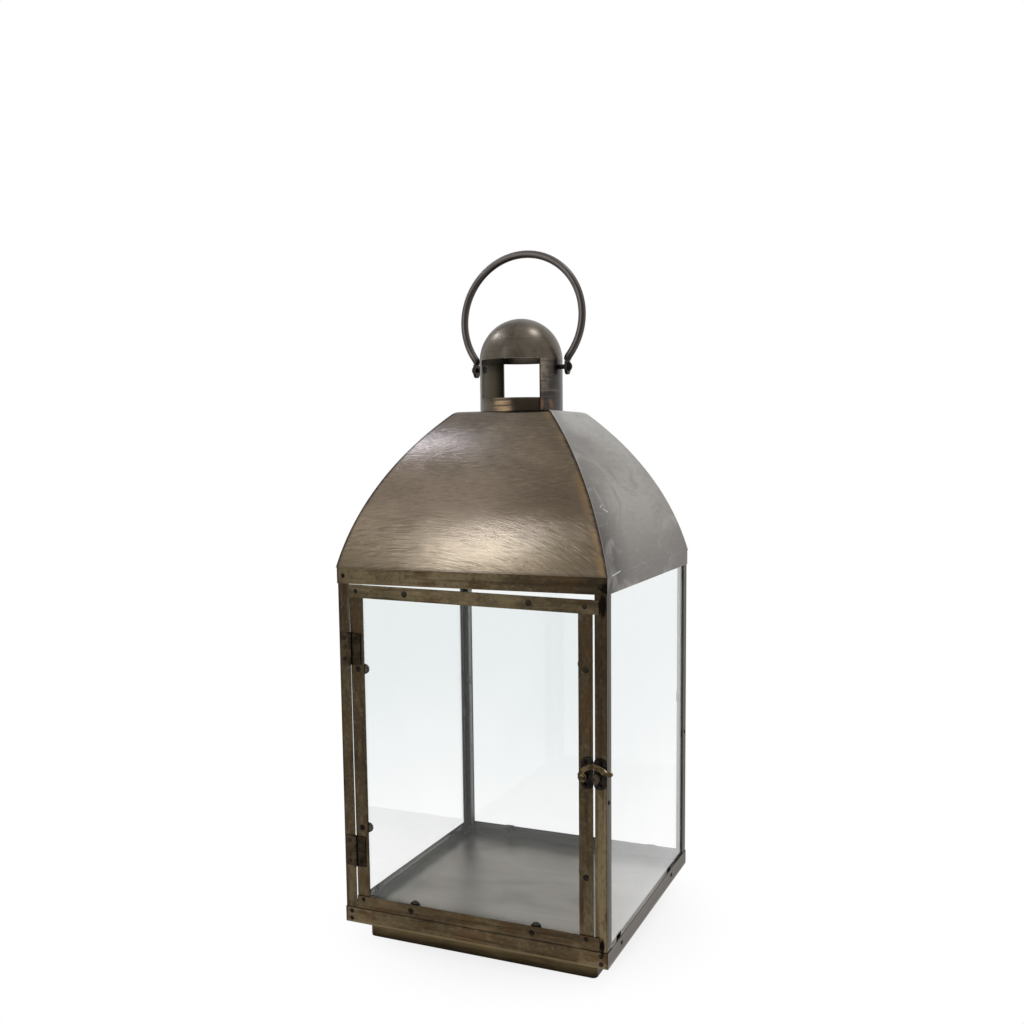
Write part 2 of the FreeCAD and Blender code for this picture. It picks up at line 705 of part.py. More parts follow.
# Pins through the chimney wall: flat tail inside, domed head outside the bail's foot
def make_handle_pin(label, turn):
    body = new_body(label)
    profile = add_sketch(body, f"{label}_profile", "XY_Plane")
    tail = f"(sqrt({flue} ^ 2 - dims.pin_tail_radius ^ 2) - dims.running_play)"
    start = f"({tail} - dims.pin_tail_height)"
    under_head = f"({bail_foot} + dims.paddle_thickness / 2 + dims.pin_play)"
    tip = f"({under_head} + dims.pin_head_height)"
    outline = [(tip, middle_line), (start, middle_line), (start, "dims.pin_tail_radius"),
               (tail, "dims.pin_tail_radius"), (tail, "dims.pin_radius"),
               (under_head, "dims.pin_radius"), (under_head, "dims.pin_head_radius")]
    sides = [line(profile, first, second) for first, second in zip(outline, outline[1:])]
    for first, second in zip(sides, sides[1:]):
        join(profile, first, 2, second, 1)
    for side, point in zip(sides, outline):
        fix_point(profile, side, 1, *point)
    fix_point(profile, sides[-1], 2, *outline[-1])
    head = number("dims.pin_head_radius")
    rise = number("dims.pin_head_height")
    ball = (head ** 2 + rise ** 2) / (2 * rise)
    centre = FreeCAD.Vector(number(tip) - ball, 0, 0)
    dome = profile.addGeometry(Part.ArcOfCircle(Part.Circle(centre, upward, ball), 0, math.asin(head / ball)))
    join(profile, dome, 1, sides[0], 1)
    join(profile, dome, 2, sides[-1], 2)
    profile.addConstraint(Sketcher.Constraint("PointOnObject", dome, 3, -1))
    revolve(body, profile, "H_Axis")
    body.Placement.Rotation = FreeCAD.Rotation(upward, turn)
    body.setExpression("Placement.Base.z", pivot_height)


# Bail: round wire bent to a ring, with its two feet flattened and drilled for the pins
def make_bail():
    body = new_body("bail_handle")
    path = add_sketch(body, "bail_path", "XZ_Plane")
    foot = number(bail_foot)
    bend = number("dims.bail_bend")
    ring = number(ring_radius)
    start = number(bend_height)
    rise = math.sqrt((ring + bend) ** 2 - (foot + bend) ** 2)
    sweep = math.atan2(rise, foot + bend)
    centre = FreeCAD.Vector(0, start + rise, 0)
    loop = path.addGeometry(Part.ArcOfCircle(Part.Circle(centre, upward, ring), -sweep, math.pi + sweep))
    left_centre = FreeCAD.Vector(-foot - bend, start, 0)
    right_centre = FreeCAD.Vector(foot + bend, start, 0)
    left_bend = Part.Circle(left_centre, upward, bend)
    right_bend = Part.Circle(right_centre, upward, bend)
    left = path.addGeometry(Part.ArcOfCircle(left_bend, 0, sweep))
    right = path.addGeometry(Part.ArcOfCircle(right_bend, math.pi - sweep, math.pi))
    path.addConstraint(Sketcher.Constraint("Tangent", left, 2, loop, 2))
    path.addConstraint(Sketcher.Constraint("Tangent", right, 1, loop, 1))
    for elbow, end, sign in ((left, 1, "-"), (right, 2, "")):
        bind(path, Sketcher.Constraint("Radius", elbow, bend), "dims.bail_bend")
        fix_point(path, elbow, end, f"{sign}{bail_foot}", bend_height)
        fix_y(path, elbow, 3, bend_height)
    bind(path, Sketcher.Constraint("Radius", loop, ring), ring_radius)
    section = add_sketch(body, "bail_section", "XY_Plane", bend_height)
    circle(section, f"-{bail_foot}", middle_line, "dims.wire_radius")
    wire = body.newObject("PartDesign::AdditivePipe", "bail_wire")
    wire.Profile = section
    wire.Spine = (path, [])
    wire.Transition = "Transformed"
    flat_height = f"({bend_height} - dims.paddle_neck)"
    for name, sign in (("left", "-"), ("right", "")):
        x = f"{sign}{bail_foot}"
        end = add_sketch(body, f"{name}_wire_end", "XY_Plane", bend_height)
        circle(end, x, middle_line, "dims.wire_radius")
        flat = add_sketch(body, f"{name}_flat_end", "XY_Plane", flat_height)
        flat_centre = FreeCAD.Vector(number(x), 0, 0)
        wide = flat_centre + FreeCAD.Vector(0, number("dims.paddle_half_width"), 0)
        thin = flat_centre + FreeCAD.Vector(number("dims.paddle_thickness / 2"), 0, 0)
        oval = flat.addGeometry(Part.Ellipse(wide, thin, flat_centre))
        flat.exposeInternalGeometry(oval)
        major = oval + 1
        minor = oval + 2
        fix_point(flat, oval, 3, x, middle_line)
        flat.addConstraint(Sketcher.Constraint("Vertical", major))
        for axis, length in ((major, "2 * dims.paddle_half_width"), (minor, "dims.paddle_thickness")):
            bind(flat, Sketcher.Constraint("Distance", axis, number(length)), length)
        forged = body.newObject("PartDesign::AdditiveLoft", f"{name}_forged_end")
        forged.Profile = end
        forged.Sections = [flat]
        paddle = add_sketch(body, f"{name}_paddle", "YZ_Plane", x)
        toe = f"({pivot_height} - dims.paddle_toe)"
        tongue(paddle, middle_line, toe, flat_height, "dims.paddle_half_width")
        pad(body, paddle, "dims.paddle_thickness", symmetric=True)
    bore = "(dims.pin_radius + dims.running_play)"
    drill(body, "bail_pin_holes", "YZ_Plane", [(middle_line, pivot_height, bore)])
    lean = FreeCAD.Rotation(FreeCAD.Vector(1, 0, 0), -number("dims.bail_lean"))
    pivot = FreeCAD.Vector(0, 0, number(pivot_height))
    body.Placement = FreeCAD.Placement(FreeCAD.Vector(), lean, pivot)


# Door frame: stiles level with the posts, strips riveted across their fronts
def make_stile(label, sides, top, holes):
    # The sides are the x of the bottom left, bottom right, top right and top left corners
    body = new_body(label)
    face = add_sketch(body, f"{label}_face", "XZ_Plane", inner_face)
    polygon(face, list(zip(sides, (door_bottom, door_bottom, top, top))))
    for hole in holes:
        circle(face, *hole)
    pad(body, face, "dims.sheet")


def make_door_frame():
    hinge_line = f"-{stile_middle}"
    pitch = "dims.hinge_rivet_pitch / 2"
    hinge_rows = (bottom_corner_row, top_strip_middle(hinge_line), hinge_tab_high, hinge_tab_low)
    hinge_holes = [(hinge_line, row, rivet_hole) for row in hinge_rows]
    hinge_holes += [(f"({hinge_x} + {leaf_rivet})", f"({middle} {sign} {pitch})", rivet_hole)
                    for middle in (upper_hinge, lower_hinge) for sign in "+-"]
    latch_rows = [bottom_corner_row, top_strip_middle(stile_middle), latch_tab_high, latch_tab_low]
    latch_holes = [(stile_middle, row, rivet_hole) for row in latch_rows + latch_screw_rows]
    latch_holes.append((pivot_x, pivot_z, "(dims.pivot_radius + dims.rivet_play)"))
    hinge_sides = (f"-{stile_outer}", f"-{stile_inner}", f"-{stile_inner}", racked_corner)
    latch_sides = (stile_inner, stile_outer, stile_outer, stile_inner)
    make_stile("door_hinge_stile", hinge_sides, f"({top_strip_edge(f'-{stile_inner}')})", hinge_holes)
    make_stile("door_latch_stile", latch_sides, f"({top_strip_edge(stile_outer)})", latch_holes)

    top = new_body("door_top_strip")
    face = add_sketch(top, "top_strip_face", "XZ_Plane", half)
    polygon(face, [(racked_corner, f"({top_strip_edge(racked_corner)} - dims.strip_height)"),
                   (strip_end, f"({top_strip_edge(strip_end)} - dims.strip_height)"),
                   (strip_end, top_strip_edge(strip_end)),
                   (racked_corner, top_strip_edge(racked_corner))])
    for x in (hinge_line, "-dims.tab_spread", "dims.tab_spread", stile_middle):
        circle(face, x, top_strip_middle(x), rivet_hole)
    pad(top, face, "dims.sheet")

    bottom = new_body("door_bottom_strip")
    face = add_sketch(bottom, "bottom_strip_face", "XZ_Plane", half)
    rectangle(face, f"-{stile_outer}", door_bottom, strip_end, f"({door_bottom} + dims.strip_height)")
    for x in (hinge_line, stile_middle):
        circle(face, x, bottom_corner_row, rivet_hole)
    for x in ("-dims.tab_spread", "dims.tab_spread"):
        circle(face, x, bottom_strip_middle, rivet_hole)
    pad(bottom, face, "dims.sheet")


def make_door_glass():
    body = new_body("door_glass")
    face = add_sketch(body, "door_glass_face", "XZ_Plane", pane_back)
    left = f"-{door_glass_half}"
    room = "(dims.rivet_shank_radius + dims.glass_seat)"
    polygon(face, [(left, door_glass_bottom), (door_glass_half, door_glass_bottom),
                   (door_glass_half, f"({top_strip_middle(door_glass_half)} - {room})"),
                   (left, f"({top_strip_middle(left)} - {room})")])
    pad(body, face, "dims.glass_thickness")


def turn_tab():
    # Slot-shaped tab along +X with its rivet hole at the origin
    radius = number("dims.tab_radius")
    length = number("dims.tab_length")
    thick = number("dims.tab_thickness")
    depth = FreeCAD.Vector(0, thick, 0)
    back = FreeCAD.Vector(0, 1, 0)
    nose = FreeCAD.Vector(length, 0, 0)
    heel = Part.makeCylinder(radius, thick, FreeCAD.Vector(), back)
    toe = Part.makeCylinder(radius, thick, nose, back)
    sides = ((0, -radius), (length, -radius), (length, radius), (0, radius))
    corners = [FreeCAD.Vector(x, 0, z) for x, z in sides]
    web = Part.Face(Part.makePolygon(corners + corners[:1])).extrude(depth)
    hole = Part.makeCylinder(number(rivet_hole), 3 * thick, FreeCAD.Vector(0, -thick, 0), back)
    return heel.fuse([web, toe]).removeSplitter().cut(hole)


def make_door_fixings():
    glass_back = f"-{pane_back}"
    hinge_line = f"-{stile_middle}"
    strip_face = f"-{outer_face}"
    spread = ("-dims.tab_spread", "dims.tab_spread")
    head = [(x, top_strip_middle(x)) for x in spread]
    foot = [(x, bottom_strip_middle) for x in spread]
    hinge_side = [(hinge_line, hinge_tab_high), (hinge_line, hinge_tab_low)]
    latch_side = [(stile_middle, latch_tab_high), (stile_middle, latch_tab_low)]
    tab = turn_tab()

    def place_tab(x, z, lift):
        placed = tab.copy()
        turn = FreeCAD.Rotation(FreeCAD.Vector(0, 1, 0), -lift)
        placed.Placement = FreeCAD.Placement(FreeCAD.Vector(number(x), number(glass_back), number(z)), turn)
        return placed

    # Level along the top and hinge sides, nose up along the bottom, nose up and inwards at the latch side
    tabs = [place_tab(x, z, 0) for x, z in head + hinge_side]
    tabs += [place_tab(x, z, number("dims.foot_tab_lift")) for x, z in foot]
    tabs += [place_tab(x, z, 180 - number("dims.latch_tab_lift")) for x, z in latch_side]
    group("door_glass_clips", tabs)

    corner_pin = rivet("2 * dims.sheet")
    strip_pin = rivet("2 * dims.sheet + dims.glass_thickness + dims.tab_thickness", "dims.tab_head_radius")
    stile_pin = rivet("dims.sheet + dims.glass_thickness + dims.tab_thickness", "dims.tab_head_radius")
    pins = [seat(corner_pin, x, strip_face, row)
            for x in (hinge_line, stile_middle) for row in (bottom_corner_row, top_strip_middle(x))]
    pins += [seat(strip_pin, x, strip_face, z) for x, z in head + foot]
    pins += [seat(stile_pin, x, f"-{half}", z) for x, z in hinge_side + latch_side]
    group("door_rivets", pins)


# Butt hinges: both leaves have the same form, one turned over so that their knuckles interleave
def make_leaf(label, middle, over):
    body = new_body(label)
    low = "(-dims.hinge_height / 2)"
    back = "(dims.knuckle_radius + dims.knuckle_play)"
    front = f"({back} - dims.hinge_leaf)"
    outline = add_sketch(body, f"{label}_plate", "XY_Plane", low)
    rectangle(outline, leaf_edge, front, f"({leaf_edge} + dims.hinge_leaf_width)", back)
    pad(body, outline, "dims.hinge_height")
    for i, start in enumerate((low, middle_line)):
        foot = f"({start} + dims.knuckle_play / 2)"
        tall = "(dims.hinge_height / 4 - dims.knuckle_play)"
        web = add_sketch(body, f"{label}_web_{i}", "XY_Plane", foot)
        rectangle(web, middle_line, front, f"({leaf_edge} + dims.knuckle_play)", "dims.knuckle_radius")
        pad(body, web, tall)
        knuckle = add_sketch(body, f"{label}_knuckle_{i}", "XY_Plane", foot)
        circle(knuckle, middle_line, middle_line, "dims.knuckle_radius")
        pad(body, knuckle, tall)
    bore = "(dims.hinge_pin_radius + dims.running_play)"
    drill(body, f"{label}_bore", "XY_Plane", [(middle_line, middle_line, bore)])
    rows = [f"{sign}dims.hinge_rivet_pitch / 2" for sign in ("-", "")]
    drill(body, f"{label}_holes", "XZ_Plane", [(leaf_rivet, row, rivet_hole) for row in rows])
    if over:
        body.Placement.Rotation = FreeCAD.Rotation(FreeCAD.Vector(0, 1, 0), 180)
    body.setExpression("Placement.Base.x", hinge_x)
    body.setExpression("Placement.Base.y", hinge_y)
    body.setExpression("Placement.Base.z", middle)


def make_hinge_pin(label, middle):
    body = new_body(label)
    profile = add_sketch(body, f"{label}_profile", "XZ_Plane")
    end = "(dims.hinge_height / 2)"
    top = f"({end} + dims.hinge_pin_end)"
    polygon(profile, [(middle_line, f"-{top}"), ("dims.hinge_pin_radius", f"-{top}"),
                      ("dims.hinge_pin_radius", end), ("dims.hinge_pin_head", end),
                      ("dims.hinge_pin_head", top), (middle_line, top)])
    revolve(body, profile, "V_Axis")
    body.setExpression("Placement.Base.x", hinge_x)
    body.setExpression("Placement.Base.y", hinge_y)
    body.setExpression("Placement.Base.z", middle)


def make_hinges():
    pin = rivet("dims.hinge_leaf + dims.sheet")
    pitch = "dims.hinge_rivet_pitch / 2"
    leaf_face = f"-({half} + dims.hinge_leaf)"
    rows = [f"({middle} {sign} {pitch})" for middle in (upper_hinge, lower_hinge) for sign in "+-"]
    for name, middle in (("upper", upper_hinge), ("lower", lower_hinge)):
        make_leaf(f"{name}_hinge_frame_leaf", middle, True)
        make_leaf(f"{name}_hinge_door_leaf", middle, False)
        make_hinge_pin(f"{name}_hinge_pin", middle)
    group("hinge_frame_rivets", [seat(pin, f"({hinge_x} - {leaf_rivet})", leaf_face, row) for row in rows])
    group("hinge_door_rivets", [seat(pin, f"({hinge_x} + {leaf_rivet})", leaf_face, row) for row in rows])


# Latch: plates on the stile and the post, a hook that swings up about its pivot, and a drop-shaped stud
def make_latch_plate(label, middle, holes):
    body = new_body(label)
    face = add_sketch(body, f"{label}_face", "XZ_Plane", half)
    wide = "dims.latch_plate_width / 2"
    tall = "dims.latch_plate_height / 2"
    bottom = f"({latch_middle} - {tall})"
    top = f"({latch_middle} + {tall})"
    rectangle(face, f"({middle} - {wide})", bottom, f"({middle} + {wide})", top)
    for x, z, radius in holes:
        circle(face, x, z, radius)
    plate = pad(body, face, "dims.latch_plate")

    def corner(edge):
        box = edge.BoundBox
        at_end = near(box.ZMin, number(bottom)) or near(box.ZMin, number(top))
        return at_end and near(box.XLength + box.ZLength, 0)

    round_edges(body, plate, corner, "dims.latch_plate_corner")


def make_hook():
    body = new_body("latch_hook")
    plane = f"({latch_front} + dims.hook_standoff)"
    boss = add_sketch(body, "hook_boss", "XZ_Plane", plane)
    circle(boss, pivot_x, pivot_z, "dims.hook_boss_radius")
    pad(body, boss, "dims.hook_thickness")
    arch = add_sketch(body, "hook_arch", "XZ_Plane", plane)
    ends = ("dims.hook_mouth_angle", "dims.hook_heel_angle")
    turn = [number(end) for end in ends]
    outer = arc(arch, (arch_x, arch_z), hook_outer, *turn)
    inner = arc(arch, (arch_x, arch_z), hook_inner, *turn)

    def polar(radius, angle):
        return f"{arch_x} + {radius} * cos({angle})", f"{arch_z} + {radius} * sin({angle})"

    mouth = line(arch, polar(hook_inner, ends[0]), polar(hook_outer, ends[0]))
    heel = line(arch, polar(hook_outer, ends[1]), polar(hook_inner, ends[1]))
    join(arch, mouth, 2, outer, 1)
    join(arch, outer, 2, heel, 1)
    join(arch, heel, 2, inner, 2)
    join(arch, inner, 1, mouth, 1)
    join(arch, outer, 3, inner, 3)
    fix_point(arch, outer, 3, arch_x, arch_z)
    for curve, radius in ((outer, hook_outer), (inner, hook_inner)):
        bind(arch, Sketcher.Constraint("Radius", curve, number(radius)), radius)
        for point, angle in ((1, ends[0]), (2, ends[1])):
            fix_y(arch, curve, point, polar(radius, angle)[1])
    pad(body, arch, "dims.hook_thickness")
    tip = add_sketch(body, "hook_tip", "XZ_Plane", plane)
    crest, level = polar(f"({hook_inner} + dims.hook_band / 2)", ends[0])
    beyond = f"({crest} + dims.hook_tip_length)"
    above = f"({level} + dims.hook_tip_radius)"
    below = f"({level} - dims.hook_tip_radius)"
    end = arc(tip, (beyond, level), "dims.hook_tip_radius", -90, 90)
    low = line(tip, (f"({crest})", below), (beyond, below))
    high = line(tip, (beyond, above), (f"({crest})", above))
    root = line(tip, (f"({crest})", above), (f"({crest})", below))
    tip.addConstraint(Sketcher.Constraint("Tangent", low, 2, end, 1))
    tip.addConstraint(Sketcher.Constraint("Tangent", end, 2, high, 1))
    join(tip, high, 2, root, 1)
    join(tip, root, 2, low, 1)
    tip.addConstraint(Sketcher.Constraint("Vertical", root))
    fix_point(tip, end, 3, beyond, f"({level})")
    fix_x(tip, root, 1, f"({crest})")
    bind(tip, Sketcher.Constraint("Radius", end, number("dims.hook_tip_radius")), "dims.hook_tip_radius")
    tip.addConstraint(Sketcher.Constraint("Horizontal", low))
    pad(body, tip, "dims.hook_thickness")
    knob = add_sketch(body, "hook_knob", "XZ_Plane", plane)
    circle(knob, beyond, f"({level})", "dims.hook_knob_radius")
    pad(body, knob, "dims.hook_thickness")
    eye = "(dims.pivot_radius + dims.running_play)"
    drill(body, "hook_eye", "XZ_Plane", [(pivot_x, pivot_z, eye)])


def make_stud():
    body = new_body("latch_stud")
    face = add_sketch(body, "stud_face", "XZ_Plane", latch_front)
    radius = number("dims.stud_radius")
    drop = number("dims.stud_radius + dims.stud_tail")
    lean = math.degrees(math.acos(radius / drop))
    crown = arc(face, (stud_x, stud_z), "dims.stud_radius", lean - 90, 270 - lean)
    toe = f"({stud_z} - dims.stud_radius - dims.stud_tail)"
    side = f"(dims.stud_radius * sin({lean}))"
    height = f"({stud_z} - dims.stud_radius * cos({lean}))"
    left = line(face, (f"({stud_x} - {side})", height), (stud_x, toe))
    right = line(face, (stud_x, toe), (f"({stud_x} + {side})", height))
    face.addConstraint(Sketcher.Constraint("Tangent", crown, 2, left, 1))
    face.addConstraint(Sketcher.Constraint("Tangent", right, 2, crown, 1))
    join(face, left, 2, right, 1)
    fix_point(face, crown, 3, stud_x, stud_z)
    fix_point(face, left, 2, stud_x, toe)
    bind(face, Sketcher.Constraint("Radius", crown, radius), "dims.stud_radius")
    pad(body, face, "dims.stud_height")
    peg = add_sketch(body, "stud_peg", "XZ_Plane", inner_face)
    circle(peg, stud_x, stud_z, "dims.stud_peg_radius")
    pad(body, peg, "(dims.sheet + dims.latch_plate)")


def make_latch_pivot():
    body = new_body("latch_pivot")
    shank = add_sketch(body, "pivot_shank", "XZ_Plane", inner_face)
    circle(shank, pivot_x, pivot_z, "dims.pivot_radius")
    reach = "(dims.sheet + dims.latch_plate + dims.hook_standoff + dims.hook_thickness + dims.knuckle_play)"
    pad(body, shank, reach)
    head = add_sketch(body, "pivot_head", "XZ_Plane", f"({inner_face} + {reach})")
    circle(head, pivot_x, pivot_z, "dims.pivot_head")
    cap = pad(body, head, "dims.rivet_head_height")
    front = -number(f"{inner_face} + {reach} + dims.rivet_head_height")
    round_edges(body, cap, lambda edge: near(edge.BoundBox.YMin, front) and near(edge.BoundBox.YMax, front),
                "dims.pivot_round")


def make_latch():
    pivot_hole = (pivot_x, pivot_z, "(dims.pivot_radius + dims.rivet_play)")
    peg_hole = (stud_x, stud_z, "(dims.stud_peg_radius + dims.rivet_play)")
    door_holes = [(stile_middle, row, rivet_hole) for row in latch_screw_rows]
    catch_holes = [(catch_screw, row, rivet_hole) for row in latch_screw_rows]
    make_latch_plate("latch_door_plate", door_plate_middle, door_holes + [pivot_hole])
    make_latch_plate("latch_catch_plate", catch_plate_middle, catch_holes + [peg_hole])
    pin = rivet("dims.latch_plate + dims.sheet", "dims.latch_screw_head")
    group("latch_door_screws", [seat(pin, stile_middle, f"-{latch_front}", row) for row in latch_screw_rows])
    group("latch_catch_screws", [seat(pin, catch_screw, f"-{latch_front}", row) for row in latch_screw_rows])
    make_latch_pivot()
    make_hook()
    make_stud()


make_plinth()
make_floor()
make_posts()
make_rails()
make_frame_rivets()
make_panes()
make_roof()
make_chimney()
make_handle_pin("handle_pin_right", 0)
make_handle_pin("handle_pin_left", 180)
make_bail()
make_door_frame()
make_door_glass()
make_door_fixings()
make_hinges()
make_latch()
doc.recompute()

# Every feature has to be sound, and every cut has to take something away, before anything is written
for feature in doc.Objects:
    if "Invalid" in feature.State or "Error" in feature.State:
        raise RuntimeError(f"{feature.Label} failed: {feature.State}")
    if feature.TypeId == "PartDesign::Pocket":
        if feature.BaseFeature.Shape.Volume - feature.Shape.Volume < tolerance:
            raise RuntimeError(f"{feature.Label} cuts nothing")
for part in sub_parts:
    if part.Shape.isNull() or not part.Shape.isValid():
        raise RuntimeError(f"{part.Label} has no valid shape")

os.makedirs("parts", exist_ok=True)
for part in sub_parts:
    part.Shape.exportStep(f"parts/{part.Label}.step")
print(len(sub_parts), "parts written")
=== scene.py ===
import math
import bpy
from mathutils import Matrix, Vector

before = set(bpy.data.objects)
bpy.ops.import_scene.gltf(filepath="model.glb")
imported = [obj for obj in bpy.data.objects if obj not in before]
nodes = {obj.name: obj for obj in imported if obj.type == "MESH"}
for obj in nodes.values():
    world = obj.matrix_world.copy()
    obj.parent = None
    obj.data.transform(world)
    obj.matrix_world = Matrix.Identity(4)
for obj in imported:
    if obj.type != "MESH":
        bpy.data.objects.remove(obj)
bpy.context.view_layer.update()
bpy.ops.object.select_all(action="DESELECT")
print("frame loaded:", len(nodes), "pieces")


class Link:  # a shader socket that takes part in plain sums
    def __init__(self, finish, socket):
        self.finish = finish
        self.socket = socket

    def __add__(self, other):
        return self.finish.sum("ADD", self, other)

    def __sub__(self, other):
        return self.finish.sum("SUBTRACT", self, other)

    def __rsub__(self, other):
        return self.finish.sum("SUBTRACT", other, self)

    def __mul__(self, other):
        return self.finish.sum("MULTIPLY", self, other)

    def __truediv__(self, other):
        return self.finish.sum("DIVIDE", self, other)

    def __abs__(self):
        return self.finish.sum("ABSOLUTE", self)

    __radd__ = __add__
    __rmul__ = __mul__

    def swing(self, reach):  # a noise swung about its middle
        return (self - 0.5) * reach


class Finish:  # one procedural material, or the world, built node by node
    def __init__(self, name, world=None):
        self.material = world or bpy.data.materials.new(name)
        self.material.use_nodes = True
        self.tree = self.material.node_tree
        self.tree.nodes.clear()

    def node(self, kind, settings=None, inputs=None, output=0):
        made = self.tree.nodes.new(kind)
        for name, value in (settings or {}).items():
            setattr(made, name, value)
        for name, value in (inputs or {}).items():
            if isinstance(value, Link):
                self.tree.links.new(value.socket, made.inputs[name])
            else:
                made.inputs[name].default_value = value
        return Link(self, made.outputs[output] if made.outputs else None)

    def sum(self, operation, first, second=0.0):
        return self.node("ShaderNodeMath", {"operation": operation}, {0: first, 1: second})

    def reach(self, first, second):  # distance in a plane
        return self.sum("SQRT", first * first + second * second)

    def place(self):
        return self.node("ShaderNodeTexCoord", output="Object")

    def facing(self):  # which way the surface looks, fixed to the piece
        return self.parts(self.node("ShaderNodeTexCoord", output="Normal"))

    def parts(self, vector):
        made = self.node("ShaderNodeSeparateXYZ", None, {0: vector})
        return [Link(self, socket) for socket in made.socket.node.outputs]

    def point(self, x, y, z):
        return self.node("ShaderNodeCombineXYZ", None, {0: x, 1: y, 2: z})

    def noise(self, vector, detail, rough, bend=0.0):
        inputs = {"Vector": vector, "Scale": 1.0, "Detail": detail, "Roughness": rough, "Distortion": bend}
        return self.node("ShaderNodeTexNoise", None, inputs)

    def grain(self, place, scale, turn=(0, 0, 0), shift=(0, 0, 0), **settings):  # noise stretched over a piece
        inputs = {"Vector": place, "Scale": scale, "Rotation": turn, "Location": shift}
        mapped = self.node("ShaderNodeMapping", {"vector_type": "POINT"}, inputs)
        return self.noise(mapped, **settings)

    def grains(self, place, setup, *names):
        return [self.grain(place, **setup["grain"][name]) for name in names]

    def step(self, value, low, high, top=1.0):  # smooth rise from low to high
        inputs = {"Value": value, 1: low, 2: high, 3: 0.0, 4: top}
        return self.node("ShaderNodeMapRange", {"interpolation_type": "SMOOTHSTEP"}, inputs)

    def mix(self, factor, first, second):
        settings = {"data_type": "RGBA", "blend_type": "MIX", "clamp_factor": True}
        return self.node("ShaderNodeMix", settings, {0: factor, 6: first, 7: second}, 2)

    def tint(self, base, colour, value, span, mask=None):  # a colour laid on where the value passes the span
        share = self.step(value, *span)
        return self.mix(share if mask is None else share * mask, base, colour)

    def bump(self, height, strength, distance):
        inputs = {"Height": height, "Strength": strength, "Distance": distance}
        return self.node("ShaderNodeBump", None, inputs)

    # occlusion mask, used below to lay painted shade in corners and under laps
    def crevice(self, reach):  # 1 in corners and under laps, 0 in the open
        return 1 - self.node("ShaderNodeAmbientOcclusion", {"samples": 6}, {"Distance": reach}, "AO")

    def metal(self, base, rough, normal=None):
        inputs = {"Base Color": base, "Metallic": 1.0, "Roughness": rough}
        if normal is not None:
            inputs["Normal"] = normal
        return self.surface(inputs)

    def surface(self, inputs):
        self.show(self.node("ShaderNodeBsdfPrincipled", None, inputs))
        return self.material

    def show(self, shader):
        self.node("ShaderNodeOutputMaterial", None, {"Surface": shader})


def tone(red, green, blue):  # screen colour 0-255 to the shader's linear colour
    def linear(value):
        value /= 255
        return value / 12.92 if value <= 0.04045 else ((value + 0.055) / 1.055) ** 2.4
    return (linear(red), linear(green), linear(blue), 1.0)


def wear(names, material):  # give CAD pieces their finish
    for name in names:
        mesh = nodes[name].data
        mesh.materials.clear()
        mesh.materials.append(material)


# In the dictionaries below, "grain" holds noises, and each of the "spans" is where a layer starts, where it is full
# and, third, its greatest share. "rough" is the least roughness and what the grain adds, "bump" strength and depth.
eaveHeight, roofHeight, eaveHalf = 0.3430, 0.1365, 0.127
footHeight = 0.0185
doorSeam = 0.03275  # gap between the door and the rail under it

# front and back roof sheets, brushed by hand: wide arcs below, level strokes above
roofFront = {
    "tones": {
        "top": tone(98, 90, 83), "middle": tone(126, 113, 99), "low": tone(131, 116, 93), "shade": tone(90, 79, 65),
        "dark": tone(72, 62, 52), "pale": tone(150, 136, 116), "seam": tone(40, 35, 31), "fleck": tone(52, 42, 34),
        "gold": tone(134, 108, 72),
    },
    "arcs": {
        "fine": {"thin": 1300.0, "long": 17.0, "detail": 3.0, "rough": 0.6, "bend": 0.15},
        "soft": {"thin": 390.0, "long": 11.9, "detail": 2.0, "rough": 0.5, "bend": 0.05},
    },
    "grain": {
        "cross": {"scale": (30, 30, 620), "turn": (0, 0.35, 0), "detail": 3.0, "rough": 0.6, "bend": 0.1},
        "cloud": {"scale": (15, 15, 24), "detail": 3.0, "rough": 0.5, "bend": 0.3},
        "speck": {"scale": (330, 330, 480), "detail": 2.0, "rough": 0.6},
        "level": {"scale": (120, 120, 1300), "detail": 3.0, "rough": 0.65, "bend": 0.1},
    },
    "spans": {
        "middle": (0.1, 0.5), "top": (0.5, 0.92), "rightShade": (0.03, 0.12, 0.9),
        "leftShade": (-0.01, -0.08), "leftFoot": (0.35, 0.05, 0.6),
        "darkCloud": (0.52, 0.72, 0.28), "paleCloud": (0.48, 0.3, 0.16), "level": (0.25, 0.5, 0.85),
        "darkStroke": (0.52, 0.34, 0.5), "paleStroke": (0.5, 0.68, 0.36), "fleck": (0.69, 0.76, 0.45),
        "goldHip": (0.011, 0.004), "goldCloud": (0.42, 0.6, 0.5), "rightHalf": (0.0, 0.01),
        "seam": (0.0052, 0.002, 0.85), "eave": (0.02, 0.004, 0.5), "dullBack": (0.0, 0.03, 0.22),
    },
    "centre": (-0.05, 0.05), "tall": 0.8, "deep": 0.75,  # middle of the arcs on the sheet laid flat
    "between": 20,  # sets the back sheet's strokes apart from the front one's
    "shares": (0.6, 0.2, 0.2), "levelGain": (0.65, 0.175), "slant": 0.08, "seamStray": 0.003,
    "rough": (0.12, 0.14), "bump": (0.3, 0.0005),
}


